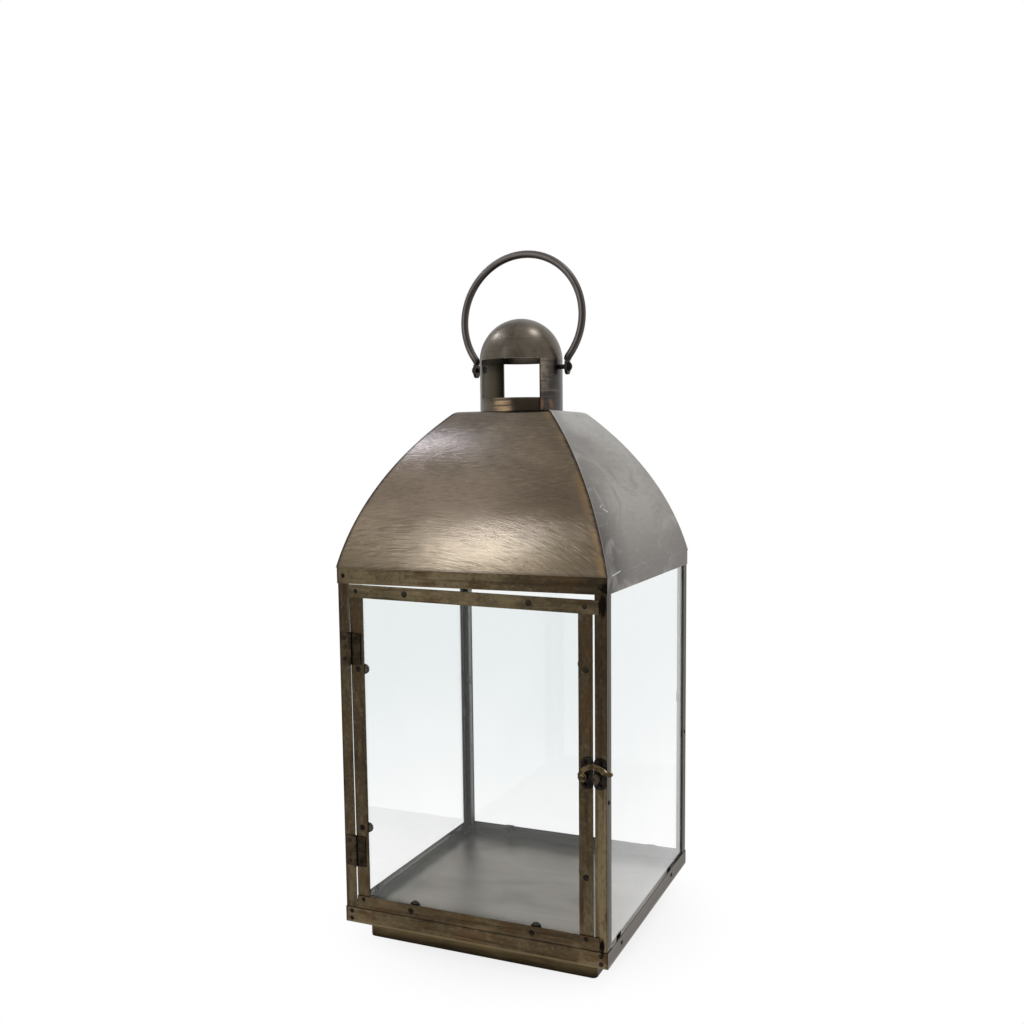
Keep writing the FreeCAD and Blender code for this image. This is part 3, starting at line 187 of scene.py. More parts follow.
def makeRoofFront(setup, name):
    tones, spans = setup["tones"], setup["spans"]
    finish = Finish(name)
    place = finish.place()
    x, y, z = finish.parts(place)
    centreX, centreZ = setup["centre"]
    across = x - centreX
    up = (z - centreZ) * setup["tall"] + (eaveHalf - abs(y)) * setup["deep"]
    radius = finish.reach(across, up)
    angle = finish.sum("ARCTAN2", across, up)

    def sweep(thin, long, **settings):  # noise drawn out along the arcs
        return finish.noise(finish.point(radius * thin, angle * long, y * setup["between"]), **settings)

    fine, soft = sweep(**setup["arcs"]["fine"]), sweep(**setup["arcs"]["soft"])
    cross, cloud, speck, level = finish.grains(place, setup, "cross", "cloud", "speck", "level")
    height = (z - eaveHeight) / roofHeight
    base = finish.tint(tones["low"], tones["middle"], height, spans["middle"])
    base = finish.tint(base, tones["top"], height, spans["top"])
    base = finish.tint(base, tones["shade"], x + height * setup["slant"], spans["rightShade"])
    base = finish.tint(base, tones["shade"], x, spans["leftShade"], finish.step(height, *spans["leftFoot"]))
    base = finish.tint(base, tones["dark"], cloud, spans["darkCloud"])
    base = finish.tint(base, tones["pale"], cloud, spans["paleCloud"])
    fineShare, softShare, crossShare = setup["shares"]
    arcs = fine * fineShare + soft * softShare + cross * crossShare
    levelGain, levelLift = setup["levelGain"]
    strokes = arcs + (level * levelGain + levelLift - arcs) * finish.step(height, *spans["level"])
    base = finish.tint(base, tones["dark"], strokes, spans["darkStroke"])
    base = finish.tint(base, tones["pale"], strokes, spans["paleStroke"])
    base = finish.tint(base, tones["fleck"], speck, spans["fleck"])
    hip = abs(y) - abs(x)
    rubbed = finish.step(cloud, *spans["goldCloud"]) * finish.step(x, *spans["rightHalf"])
    base = finish.tint(base, tones["gold"], hip, spans["goldHip"], rubbed)
    # a dark line along the hip: the sheets' joint, and painted shade of their lap
    base = finish.tint(base, tones["seam"], hip + soft * setup["seamStray"], spans["seam"])
    # painted shade: a dark band along the eave, where the sheet sits on the rail
    base = finish.tint(base, tones["dark"], height, spans["eave"])
    least, gain = setup["rough"]
    rough = least + strokes * gain + finish.step(y, *spans["dullBack"])
    return finish.metal(base, rough, finish.bump(strokes, *setup["bump"]))


# left and right roof sheets with the rails under them, painted grey in soft swirls: partly a grey patina, partly the
# pale reflection these sheets show
roofSide = {
    "tones": {
        "top": tone(166, 163, 158), "middle": tone(160, 156, 150), "low": tone(124, 119, 114),
        "shade": tone(75, 71, 67), "dark": tone(112, 107, 102), "pale": tone(180, 177, 172),
        "scratch": tone(202, 200, 196), "seam": tone(166, 162, 157),
    },
    "grain": {
        "swirl": {"scale": (13, 11, 18), "turn": (0.6, 0, 0), "detail": 3.0, "rough": 0.5, "bend": 1.8},
        "rub": {"scale": (60, 34, 170), "turn": (0.45, 0, 0), "detail": 4.0, "rough": 0.55, "bend": 1.2},
        "fine": {"scale": (300, 120, 700), "turn": (0.3, 0, 0), "detail": 3.0, "rough": 0.6, "bend": 0.5},
    },
    "spans": {
        "middle": (-0.05, 0.45), "top": (0.55, 1.0), "front": (0.05, -0.02),
        "hip": (0.075, 0.0), "hipHeight": (1.3, 0.0), "band": (0.24, 0.06, 0.4),
        "darkSwirl": (0.5, 0.3, 0.5), "paleSwirl": (0.52, 0.72, 0.45),
        "darkRub": (0.5, 0.3, 0.22), "paleRub": (0.54, 0.74, 0.2), "paleFine": (0.56, 0.74, 0.12),
        "seam": (0.0018, 0.0006, 0.6), "rightHalf": (0.0, 0.01), "broken": (0.3, 0.48),
    },
    "hipShade": (0.75, 0.25), "bandHeight": 0.7, "rough": (0.44, 0.14), "bump": (0.06, 0.0004),
    "scratches": (
        {"place": (-0.1045, 0.3440), "slope": 0.08, "half": 0.0150, "thick": 0.0006},
        {"place": (-0.0800, 0.3935), "slope": -0.35, "half": 0.0050, "thick": 0.0008},
        {"place": (-0.0860, 0.3975), "slope": 0.25, "half": 0.0040, "thick": 0.0005},
    ),
    "scratchCore": (0.4, 0.7),  # full within this share of the thickness and of the length
}


def makeRoofSide(setup, name):
    tones, spans = setup["tones"], setup["spans"]
    finish = Finish(name)
    place = finish.place()
    x, y, z = finish.parts(place)
    swirl, rub, fine = finish.grains(place, setup, "swirl", "rub", "fine")
    height = (z - eaveHeight) / roofHeight
    base = finish.tint(tones["low"], tones["middle"], height, spans["middle"])
    base = finish.tint(base, tones["top"], height, spans["top"])
    hip = abs(x) - abs(y)
    nearFront = finish.step(y, *spans["front"])
    frontShare, backShare = setup["hipShade"]
    nearHip = finish.step(height, *spans["hipHeight"]) * (nearFront * frontShare + backShare)
    base = finish.tint(base, tones["shade"], hip, spans["hip"], nearHip)
    # painted shade: a darker band near the front hip
    base = finish.tint(base, tones["dark"], abs(height - setup["bandHeight"]), spans["band"], nearFront)
    base = finish.tint(base, tones["dark"], swirl, spans["darkSwirl"])
    base = finish.tint(base, tones["pale"], swirl, spans["paleSwirl"])
    base = finish.tint(base, tones["dark"], rub, spans["darkRub"])
    base = finish.tint(base, tones["pale"], rub, spans["paleRub"])
    base = finish.tint(base, tones["pale"], fine, spans["paleFine"])
    base = finish.tint(base, tones["seam"], hip, spans["seam"])
    shown = finish.step(x, *spans["rightHalf"]) * finish.step(fine, *spans["broken"])
    thickCore, longCore = setup["scratchCore"]
    for scratch in setup["scratches"]:
        along, level = scratch["place"]
        thick, half = scratch["thick"], scratch["half"]
        line = abs(z - level - (y - along) * scratch["slope"])
        mark = finish.step(line, thick, thick * thickCore) * finish.step(abs(y - along), half, half * longCore)
        base = finish.mix(mark * shown, base, tones["scratch"])
    least, gain = setup["rough"]
    return finish.metal(base, least + swirl * gain, finish.bump(rub, *setup["bump"]))


wear(["roof_panel_front", "roof_panel_back", "roof_top_plate"], makeRoofFront(roofFront, "roof_front_brass"))
sideSheets = ["roof_panel_left", "roof_panel_right", "top_rail_left", "top_rail_right"]
wear(sideSheets, makeRoofSide(roofSide, "roof_side_brass"))
print("roof finished")

# strips of the frame and the door: grain along the length, grime and painted shade in the corners, bare grey inside
stripLook = {
    "tones": {
        "grime": tone(20, 17, 13), "dark": tone(40, 33, 24), "shade": tone(48, 40, 29), "main": tone(71, 61, 46),
        "low": tone(116, 103, 78), "pale": tone(122, 108, 82), "glint": tone(138, 122, 95), "rust": tone(80, 60, 40),
        "side": tone(99, 91, 82), "sideDark": tone(50, 46, 37), "sidePale": tone(142, 135, 126),
        "inside": tone(94, 98, 92), "insideLow": tone(122, 124, 117), "insideFront": tone(128, 126, 116),
    },
    "drawn": {  # noise scale: the same all round, plus a share of the strip's own grain
        "fine": {"even": 0, "share": 1.0, "detail": 4.0, "rough": 0.6, "bend": 0.2},
        "streak": {"even": 0, "share": 0.3, "shift": (3.1, 1.7, 0.4), "detail": 3.0, "rough": 0.6},
        "blotch": {"even": 35, "share": 0.12, "detail": 3.0, "rough": 0.6, "bend": 0.1},
        "speck": {"even": 240, "share": 0.2, "shift": (1.3, 2.9, 0.7), "detail": 3.0, "rough": 0.65},
    },
    "cloud": {"scale": (26, 26, 19), "detail": 3.0, "rough": 0.6},
    "spans": {
        "rise": (0.06, 0.31), "right": (0.0, 0.12), "ends": (0.097, 0.103), "main": (0.0, 0.55), "low": (0.5, 1.0),
        "darkBlotch": (0.5, 0.3, 0.5), "darkSpeck": (0.52, 0.28, 0.4),
        "paleSpeck": (0.52, 0.7, 0.6), "paleBlotch": (0.53, 0.72, 0.5), "rust": (0.04, 0.16, 0.5),
        "darkStreak": (0.5, 0.28, 0.6), "glint": (0.56, 0.74, 0.35), "darkFine": (0.46, 0.28, 0.4),
        "edge": (0.0012, 0.0004, 0.6), "seam": (0.0012, 0.0005, 0.75),
        "sideLine": (0.0006, 0.0022), "sideFoot": (0.04, 0.03), "sideStreak": (0.5, 0.3, 0.45),
        "sideBack": (-0.02, 0.12, 0.35), "rim": (0.0045, 0.0062), "rimTop": (0.036, 0.034),
        "lipFoot": (footHeight + 0.0125, footHeight + 0.0132), "lipTop": (0.0345, 0.0335),
        "insideStreak": (0.5, 0.3, 0.3), "insideEdge": (0.1215, 0.1235, 0.4), "insideFoot": (0.05, 0.036, 0.8),
        "looksAside": (0.6, 0.9, 0.95), "looksAlong": (0.6, 0.9), "looksIn": (-0.02, -0.09),
        "looksAhead": (-0.5, -0.8), "frontEdge": (0.1230, 0.1245, 0.5), "stain": (1.25, 0.7),
        "corner": (0.3, 0.75, 0.9),
    },
    "swings": {"bright": 0.6, "seam": 0.0014, "stain": 1.2, "corner": 0.3},
    "sideLine": 0.1222, "lineShare": 0.75, "rimMiddle": 0.007, "rimShare": 0.7, "lipShare": 0.85,
    "crevice": 0.005, "cleanInside": 0.8, "rough": (0.36, 0.2), "bump": (0.16, 0.0004),
    # painted shadows: dark spots on the front right post beside the ends of the door's strips
    "stains": (
        {"place": (0.1212, 0.3200), "half": (0.0030, 0.0090)}, {"place": (0.1206, 0.0375), "half": (0.0024, 0.0075)},
        {"place": (0.1245, 0.3345), "half": (0.0065, 0.0045)},
    ),
}
upGrain, crossGrain, sideGrain = (520, 520, 18), (18, 520, 520), (520, 18, 520)
# how bright each strip is, end to end and top to foot: partly its own patina, partly painted light and shade
strips = {  # warm: how bright the left end and the right end are, each at the top and at the foot
    "post_brass": {
        "pieces": ["corner_post_" + corner for corner in ("front_left", "front_right", "back_left", "back_right")],
        "grain": upGrain, "warm": ((0.57, 0.67), (0.17, 1.3)),
    },
    "stile_brass": {
        "pieces": ["door_hinge_stile", "door_latch_stile"],
        "grain": upGrain, "warm": ((0.4, 0.64), (0.4, 0.7)),
    },
    "top_rail_brass": {
        "pieces": ["top_rail_front", "top_rail_back"],
        "grain": crossGrain, "warm": ((0.84, 0.84), (0.17, 0.17)),
    },
    "door_top_brass": {
        "pieces": ["door_top_strip"],
        "grain": crossGrain, "warm": ((0.8, 0.8), (0.56, 0.56)),
    },
    "door_foot_brass": {
        "pieces": ["door_bottom_strip"],
        "grain": crossGrain, "warm": ((0.68, 0.68), (0.54, 0.54)), "red": 0.3, "seam": doorSeam,
    },
    "foot_rail_brass": {
        "pieces": ["bottom_rail_front", "bottom_rail_back"],
        "grain": crossGrain, "warm": ((0.72, 0.72), (0.58, 0.58)), "red": 0.25, "seam": doorSeam,
        "edge": footHeight + 0.0008, "ends": 0.35,
    },
    "side_rail_brass": {
        "pieces": ["bottom_rail_left", "bottom_rail_right"],
        "grain": sideGrain, "warm": ((0.5, 0.5), (0.5, 0.5)),
    },
}


def paintSide(finish, setup, y, z, streak):  # faces that look left or right
    tones, spans = setup["tones"], setup["spans"]
    # the grey of the side faces is partly the brass's own tone and partly painted reflection, as on the side roof
    # sheets
    offLine = finish.step(abs(abs(y) - setup["sideLine"]), *spans["sideLine"])
    bright = offLine * setup["lineShare"] + finish.step(z, *spans["sideFoot"])
    base = finish.mix(bright, tones["sideDark"], tones["side"])
    base = finish.tint(base, tones["sideDark"], streak, spans["sideStreak"])
    base = finish.tint(base, tones["sideDark"], y, spans["sideBack"])
    rim = finish.step(abs(z - footHeight - setup["rimMiddle"]), *spans["rim"]) * finish.step(z, *spans["rimTop"])
    base = finish.mix(rim * setup["rimShare"], base, tones["sidePale"])
    lip = finish.step(z, *spans["lipFoot"]) * finish.step(z, *spans["lipTop"])
    return finish.mix(lip * setup["lipShare"], base, tones["sideDark"])


def paintInside(finish, setup, x, z, lookY, streak):  # faces that look into the chamber
    tones, spans = setup["tones"], setup["spans"]
    # painted reflection: inside faces that look front or back are lighter
    base = finish.tint(tones["inside"], tones["insideFront"], abs(lookY), spans["looksAlong"])
    base = finish.tint(base, tones["inside"], streak, spans["insideStreak"])
    # painted shade: darker towards the corners
    base = finish.tint(base, tones["inside"], abs(x), spans["insideEdge"])
    return finish.tint(base, tones["insideLow"], z, spans["insideFoot"])


def makeStrip(setup, name, strip):
    tones, spans, swings = setup["tones"], setup["spans"], setup["swings"]
    finish = Finish(name)
    place = finish.place()
    x, y, z = finish.parts(place)
    lookX, lookY = finish.facing()[:2]

    def draw(even, share, **settings):  # noise drawn out along the strip
        return finish.grain(place, tuple(even + share * part for part in strip["grain"]), **settings)

    fine, streak, blotch, speck = (draw(**setup["drawn"][part]) for part in ("fine", "streak", "blotch", "speck"))
    cloud = finish.grain(place, **setup["cloud"])
    rise = finish.step(z, *spans["rise"])
    (leftTop, leftLow), (rightTop, rightLow) = strip["warm"]
    left = leftLow + rise * (leftTop - leftLow)
    right = rightLow + rise * (rightTop - rightLow)
    bright = left + finish.step(x, *spans["right"]) * (right - left) + cloud.swing(swings["bright"])
    if "ends" in strip:
        bright = bright + finish.step(abs(x), *spans["ends"], strip["ends"])
    base = finish.tint(tones["shade"], tones["main"], bright, spans["main"])
    base = finish.tint(base, tones["low"], bright, spans["low"])
    base = finish.tint(base, tones["dark"], blotch, spans["darkBlotch"])
    base = finish.tint(base, tones["dark"], speck, spans["darkSpeck"])
    base = finish.tint(base, tones["pale"], speck, spans["paleSpeck"], bright)
    base = finish.tint(base, tones["pale"], blotch, spans["paleBlotch"], bright)
    rusty = finish.step(cloud - blotch, *spans["rust"]) + strip.get("red", 0.0)
    base = finish.mix(rusty, base, tones["rust"])
    base = finish.tint(base, tones["dark"], streak, spans["darkStreak"])
    base = finish.tint(base, tones["glint"], fine, spans["glint"], bright)
    base = finish.tint(base, tones["dark"], fine, spans["darkFine"])
    # painted highlight: a pale line along the bottom rail's lower edge
    if "edge" in strip:
        base = finish.tint(base, tones["pale"], abs(z - strip["edge"]), spans["edge"])
    # painted shade: a dark line along the gap between the door's bottom strip and the rail under it
    if "seam" in strip:
        offSeam = abs(z - strip["seam"]) + blotch.swing(swings["seam"])
        base = finish.tint(base, tones["grime"], offSeam, spans["seam"])
    base = finish.tint(base, paintSide(finish, setup, y, z, streak), abs(lookX), spans["looksAside"])
    inward = finish.step(lookX * x + lookY * y, *spans["looksIn"])
    base = finish.mix(inward, base, paintInside(finish, setup, x, z, lookY, streak))
    front = finish.step(lookY, *spans["looksAhead"])
    # painted shade: front faces darker along the posts' outer edges
    base = finish.tint(base, tones["dark"], abs(x), spans["frontEdge"], front)
    # painted shadows cast by the ends of the door's strips on the front right post
    for stain in setup["stains"]:
        (stainX, stainZ), (halfX, halfZ) = stain["place"], stain["half"]
        away = finish.reach((x - stainX) / halfX, (z - stainZ) / halfZ) + blotch.swing(swings["stain"])
        base = finish.tint(base, tones["grime"], away, spans["stain"], front)
    # grime and painted shade in corners and under laps, from occlusion, held back on inside faces
    corner = finish.crevice(setup["crevice"]) + blotch.swing(swings["corner"])
    base = finish.tint(base, tones["grime"], corner, spans["corner"], 1 - inward * setup["cleanInside"])
    least, gain = setup["rough"]
    return finish.metal(base, least + fine * gain, finish.bump(fine, *setup["bump"]))


for name, strip in strips.items():
    wear(strip["pieces"], makeStrip(stripLook, name, strip))

# plinth: dark brass, with a painted highlight towards its top and painted shade that turns it almost black at the
# foot
plinth = {
    "tones": {
        "foot": tone(28, 21, 14), "dark": tone(56, 46, 31), "main": tone(88, 75, 52), "pale": tone(110, 95, 71),
    },
    "grain": {
        "fine": {"scale": (16, 16, 420), "detail": 4.0, "rough": 0.6, "bend": 0.2},
        "cloud": {"scale": (26, 26, 60), "detail": 4.0, "rough": 0.6, "bend": 0.4},
    },
    "spans": {
        "pale": (0.35, 0.95), "darkFine": (0.52, 0.3, 0.7), "darkCloud": (0.5, 0.3, 0.55), "foot": (0.6, 0.06, 0.92),
    },
    "swing": 0.4, "rough": (0.36, 0.18), "bump": (0.15, 0.0004),
}


def makePlinth(setup, name):
    tones, spans = setup["tones"], setup["spans"]
    finish = Finish(name)
    place = finish.place()
    z = finish.parts(place)[2]
    fine, cloud = finish.grains(place, setup, "fine", "cloud")
    height = z / footHeight + cloud.swing(setup["swing"])
    base = finish.tint(tones["main"], tones["pale"], height, spans["pale"])
    base = finish.tint(base, tones["dark"], fine, spans["darkFine"])
    base = finish.tint(base, tones["dark"], cloud, spans["darkCloud"])
    # painted shade, almost black at the foot
    base = finish.tint(base, tones["foot"], height, spans["foot"])
    least, gain = setup["rough"]
    return finish.metal(base, least + fine * gain, finish.bump(fine, *setup["bump"]))


wear(["base_plinth"], makePlinth(plinth, "plinth_brass"))

# floor sheet, dull zinc grey, brighter where it meets the walls, and brighter towards the right as a painted
# reflection
floorSheet = {
    "tones": {
        "dark": tone(110, 106, 98), "main": tone(132, 127, 118), "pale": tone(146, 141, 132),
        "bright": tone(192, 191, 186),
    },
    "grain": {
        "swirl": {"scale": (9, 22, 14), "detail": 3.0, "rough": 0.5, "bend": 0.9},
        "brush": {"scale": (7, 160, 14), "detail": 2.0, "rough": 0.5, "bend": 0.2},
    },
    "spans": {
        "main": (0.32, 0.54), "paleSwirl": (0.54, 0.72, 0.7), "darkBrush": (0.54, 0.34, 0.3),
        "brightRight": (0.05, 0.14, 0.5), "paleLeft": (0.02, -0.08, 0.15), "wall": (0.1, 0.118, 0.6),
        "corner": (0.25, 0.8, 0.4),
    },
    "slant": 0.5, "crevice": 0.006, "rough": (0.32, 0.12),
}


def makeFloorSheet(setup, name):
    tones, spans = setup["tones"], setup["spans"]
    finish = Finish(name)
    place = finish.place()
    x, y = finish.parts(place)[:2]
    swirl, brush = finish.grains(place, setup, "swirl", "brush")
    base = finish.tint(tones["dark"], tones["main"], swirl, spans["main"])
    base = finish.tint(base, tones["pale"], swirl, spans["paleSwirl"])
    base = finish.tint(base, tones["dark"], brush, spans["darkBrush"])
    # painted reflection: brighter towards the right
    base = finish.tint(base, tones["bright"], x + y * setup["slant"], spans["brightRight"])
    base = finish.tint(base, tones["pale"], x, spans["paleLeft"])
    base = finish.tint(base, tones["bright"], finish.sum("MAXIMUM", abs(x), y), spans["wall"])
    # painted shade in the corners along the walls, from occlusion
    base = finish.tint(base, tones["dark"], finish.crevice(setup["crevice"]), spans["corner"])
    least, gain = setup["rough"]
    return finish.metal(base, least + brush * gain)


wear(["floor_plate"], makeFloorSheet(floorSheet, "floor_sheet"))
print("frame, door and plinth finished")

# rivets, screws, clips, hinges and latch plates: most of them darkened, clips and tabs left grey
fixingLook = {
    "grain": {
        "fine": {"scale": (420, 420, 420), "detail": 3.0, "rough": 0.6},
        "cloud": {"scale": (120, 120, 120), "detail": 3.0, "rough": 0.55},
    },
    "spans": {
        "main": (0.36, 0.62), "rub": (0.58, 0.76, 0.5), "corner": (0.35, 0.8, 0.8), "inside": (0.1240, 0.1237),
    },
    "crevice": 0.003, "rough": (0.38, 0.2), "bump": (0.12, 0.0003),
}
darkBrass = {"dark": tone(28, 25, 21), "main": tone(46, 41, 34), "rub": tone(80, 71, 56)}
fixings = {
    "dark_brass": {
        "pieces": [
            "door_rivets", "hinge_frame_rivets", "hinge_door_rivets", "upper_hinge_pin", "lower_hinge_pin",
            "glass_clips_right",
        ],
        "tones": darkBrass,
    },
    "rivet_brass": {"pieces": ["frame_rivets"], "tones": {**darkBrass, "inside": tone(100, 102, 96)}},
    "clip_rivet_brass": {"pieces": ["glass_clip_rivets"], "tones": {**darkBrass, "inside": tone(128, 128, 120)}},
    "grey_clip_brass": {
        "pieces": ["glass_clips_left", "glass_clips_back"],
        "tones": {"dark": tone(96, 97, 91), "main": tone(128, 128, 120), "rub": tone(150, 150, 142)},
    },
    "tab_brass": {
        "pieces": ["door_glass_clips"],
        "tones": {"dark": tone(88, 84, 76), "main": tone(98, 93, 85), "rub": tone(124, 118, 109)},
    },
    "leaf_brass": {
        "pieces": ["upper_hinge_frame_leaf", "lower_hinge_frame_leaf"],
        "tones": {"dark": tone(48, 40, 29), "main": tone(72, 62, 46), "rub": tone(98, 85, 64)},
    },
    "door_leaf_brass": {
        "pieces": ["upper_hinge_door_leaf", "lower_hinge_door_leaf"],
        "tones": {"dark": tone(36, 30, 22), "main": tone(58, 49, 36), "rub": tone(88, 76, 57)},
    },
    "latch_plate_brass": {
        "pieces": ["latch_door_plate", "latch_catch_plate", "handle_pin_left", "handle_pin_right"],
        "tones": {"dark": tone(24, 22, 20), "main": tone(44, 41, 36), "rub": tone(108, 103, 94)},
    },
    "screw_brass": {
        "pieces": ["latch_door_screws", "latch_catch_screws"],
        "tones": {"dark": tone(12, 11, 10), "main": tone(22, 20, 18), "rub": tone(66, 62, 56)},
    },
}


def makeFixing(setup, name, tones):
    spans = setup["spans"]
    finish = Finish(name)
    place = finish.place()
    fine, cloud = finish.grains(place, setup, "fine", "cloud")
    base = finish.tint(tones["dark"], tones["main"], cloud, spans["main"])
    base = finish.tint(base, tones["rub"], fine, spans["rub"])
    # painted shade in corners and under laps, from occlusion
    base = finish.tint(base, tones["dark"], finish.crevice(setup["crevice"]), spans["corner"])
    if "inside" in tones:
        x, y = finish.parts(place)[:2]
        base = finish.tint(base, tones["inside"], finish.sum("MAXIMUM", abs(x), abs(y)), spans["inside"])
    least, gain = setup["rough"]
    return finish.metal(base, least + fine * gain, finish.bump(fine, *setup["bump"]))


for name, fixing in fixings.items():
    wear(fixing["pieces"], makeFixing(fixingLook, name, fixing["tones"]))

# hook and stud of the latch, painted pale on their upper edges as a highlight
latchLook = {
    "grain": {"cloud": {"scale": (260, 260, 260), "detail": 3.0, "rough": 0.6}},
    "spans": {"main": (0.34, 0.62), "rub": (0.1, 0.6, 0.9)},
    "swing": 0.5, "rough": (0.26, 0.16), "bump": (0.1, 0.0003),
}
latchParts = {
    "hook_brass": {
        "pieces": ["latch_hook"],
        "tones": {"dark": tone(54, 44, 31), "main": tone(98, 83, 60), "pale": tone(214, 194, 154)},
    },
    "stud_brass": {
        "pieces": ["latch_stud", "latch_pivot"],
        "tones": {"dark": tone(42, 36, 30), "main": tone(70, 60, 50), "pale": tone(130, 116, 98)},
    },
}


def makeLatchPart(setup, name, tones):
    spans = setup["spans"]
    finish = Finish(name)
    lookZ = finish.facing()[2]
    cloud, = finish.grains(finish.place(), setup, "cloud")
    base = finish.tint(tones["dark"], tones["main"], cloud, spans["main"])
    # painted highlight on faces that look up
    base = finish.tint(base, tones["pale"], lookZ + cloud.swing(setup["swing"]), spans["rub"])
    least, gain = setup["rough"]
    return finish.metal(base, least + cloud * gain, finish.bump(cloud, *setup["bump"]))


for name, latchPart in latchParts.items():
    wear(latchPart["pieces"], makeLatchPart(latchLook, name, latchPart["tones"]))
print("fixings and latch finished")

# chimney, turned and rubbed round its axis; the tube is lapped beside its front window
chimney = {
    "tones": {
        "dark": tone(71, 64, 55), "main": tone(91, 83, 73), "pale": tone(107, 98, 85), "rust": tone(118, 92, 70),
        "brass": tone(176, 148, 112), "inside": tone(78, 72, 58), "deep": tone(28, 23, 18), "grey": tone(52, 50, 50),
        "patch": tone(124, 113, 100), "shade": tone(40, 33, 27),
    },
    "grain": {
        "ring": {"scale": (22, 22, 620), "detail": 4.0, "rough": 0.6, "bend": 0.2},
        "cloud": {"scale": (42, 42, 30), "detail": 4.0, "rough": 0.6, "bend": 0.5},
        "spot": {"scale": (110, 110, 80), "shift": (2.3, 0.9, 1.1), "detail": 3.0, "rough": 0.6},
    },
    "spans": {
        "main": (0.34, 0.58), "paleCloud": (0.56, 0.74, 0.5), "paleRing": (0.54, 0.74, 0.4),
        "darkRing": (0.46, 0.28, 0.45), "jamb": (-0.001, 0.001),
        "patchFront": (-0.013, -0.022), "patchHeight": (0.494, 0.507), "patch": (0.58, 0.86),
        "patchRing": (0.56, 0.7, 0.35), "rust": (0.46, 0.62, 0.6), "rustHeight": (0.496, 0.486),
        "rustFront": (-0.008, -0.016), "foot": (0.4954, 0.4874), "footRight": (-0.002, 0.012, 0.85),
        "glint": (0.012, 0.0), "glintRing": (0.34, 0.62), "seam": (0.0009, 0.0004), "seamFront": (0.0, -0.01),
        "looksIn": (-0.01, -0.03), "deep": (-0.03, -0.014),
    },
    "swings": {"front": 0.02, "height": 0.03, "glint": 0.012},
    "seam": 0.0285, "seamShare": 0.9, "jambShare": 0.75, "ringShare": 0.5, "glintPlace": -0.003,
    "rough": (0.27, 0.14), "bump": (0.16, 0.0004),
}


def paintTube(finish, setup, place, base, ring, cloud, spot):  # right jamb, foot, lap and inside of the tube
    tones, spans, swings = setup["tones"], setup["spans"], setup["swings"]
    x, y, z = finish.parts(place)
    lookX, lookY = finish.facing()[:2]
    jamb = finish.step(x - setup["seam"], *spans["jamb"])
    base = finish.mix(jamb * setup["jambShare"], base, tones["grey"])
    near = finish.step(y + spot.swing(swings["front"]), *spans["patchFront"])
    near = near * finish.step(z + cloud.swing(swings["height"]), *spans["patchHeight"])
    base = finish.tint(base, tones["patch"], spot + ring * setup["ringShare"], spans["patch"], jamb * near)
    base = finish.tint(base, tones["patch"], ring, spans["patchRing"], jamb)
    rusty = finish.step(z, *spans["rustHeight"]) * finish.step(y, *spans["rustFront"])
    base = finish.tint(base, tones["rust"], spot, spans["rust"], rusty * jamb)
    foot = finish.step(z, *spans["foot"]) * (1 - jamb)
    base = finish.tint(base, tones["shade"], x, spans["footRight"], foot)
    # painted highlight: a brass glint on the tube's foot below the window
    glint = foot * finish.step(ring, *spans["glintRing"])
    offGlint = abs(x - setup["glintPlace"] + spot.swing(swings["glint"]))
    base = finish.tint(base, tones["brass"], offGlint, spans["glint"], glint)
    seam = finish.step(abs(x - setup["seam"]), *spans["seam"]) * finish.step(y, *spans["seamFront"])
    base = finish.mix(seam * setup["seamShare"], base, tones["deep"])
    # painted shade: the inside of the tube darkens towards its right
    bare = finish.tint(tones["inside"], tones["deep"], x, spans["deep"])
    return finish.tint(base, bare, lookX * x + lookY * y, spans["looksIn"])


def makeChimney(setup, name, isTube):
    tones, spans = setup["tones"], setup["spans"]
    finish = Finish(name)
    place = finish.place()
    ring, cloud, spot = finish.grains(place, setup, "ring", "cloud", "spot")
    base = finish.tint(tones["dark"], tones["main"], cloud, spans["main"])
    base = finish.tint(base, tones["pale"], cloud, spans["paleCloud"])
    base = finish.tint(base, tones["pale"], ring, spans["paleRing"])
    base = finish.tint(base, tones["dark"], ring, spans["darkRing"])
    if isTube:
        base = paintTube(finish, setup, place, base, ring, cloud, spot)
    least, gain = setup["rough"]
    return finish.metal(base, least + ring * gain, finish.bump(ring, *setup["bump"]))


wear(["chimney_tube"], makeChimney(chimney, "tube_brass", True))
wear(["chimney_dome"], makeChimney(chimney, "dome_brass", False))

# bail wire, with painted shade underneath, a painted dark reflection along its front, dark at its feet, and a
# painted highlight line between
bail = {
    "tones": {
        "dark": tone(52, 46, 43), "main": tone(84, 78, 73), "pale": tone(114, 108, 102), "black": tone(40, 35, 32),
    },
    "grain": {
        "cloud": {"scale": (40, 40, 40), "detail": 2.0, "rough": 0.5},
        "fine": {"scale": (420, 420, 420), "detail": 2.0, "rough": 0.5},
    },
    "spans": {
        "under": (-0.25, -0.7), "line": (0.45, 0.05), "lineCloud": (0.3, 0.55, 0.7),
        "core": (0.9, 0.98, 0.7), "coreSides": (0.015, 0.045), "feet": (0.534, 0.525, 0.9),
    },
    "centre": 0.5675,  # height of the ring's middle
    "swing": 0.4, "linePlace": -0.05, "coreWay": (0.45, -0.89), "rough": (0.38, 0.08),
}


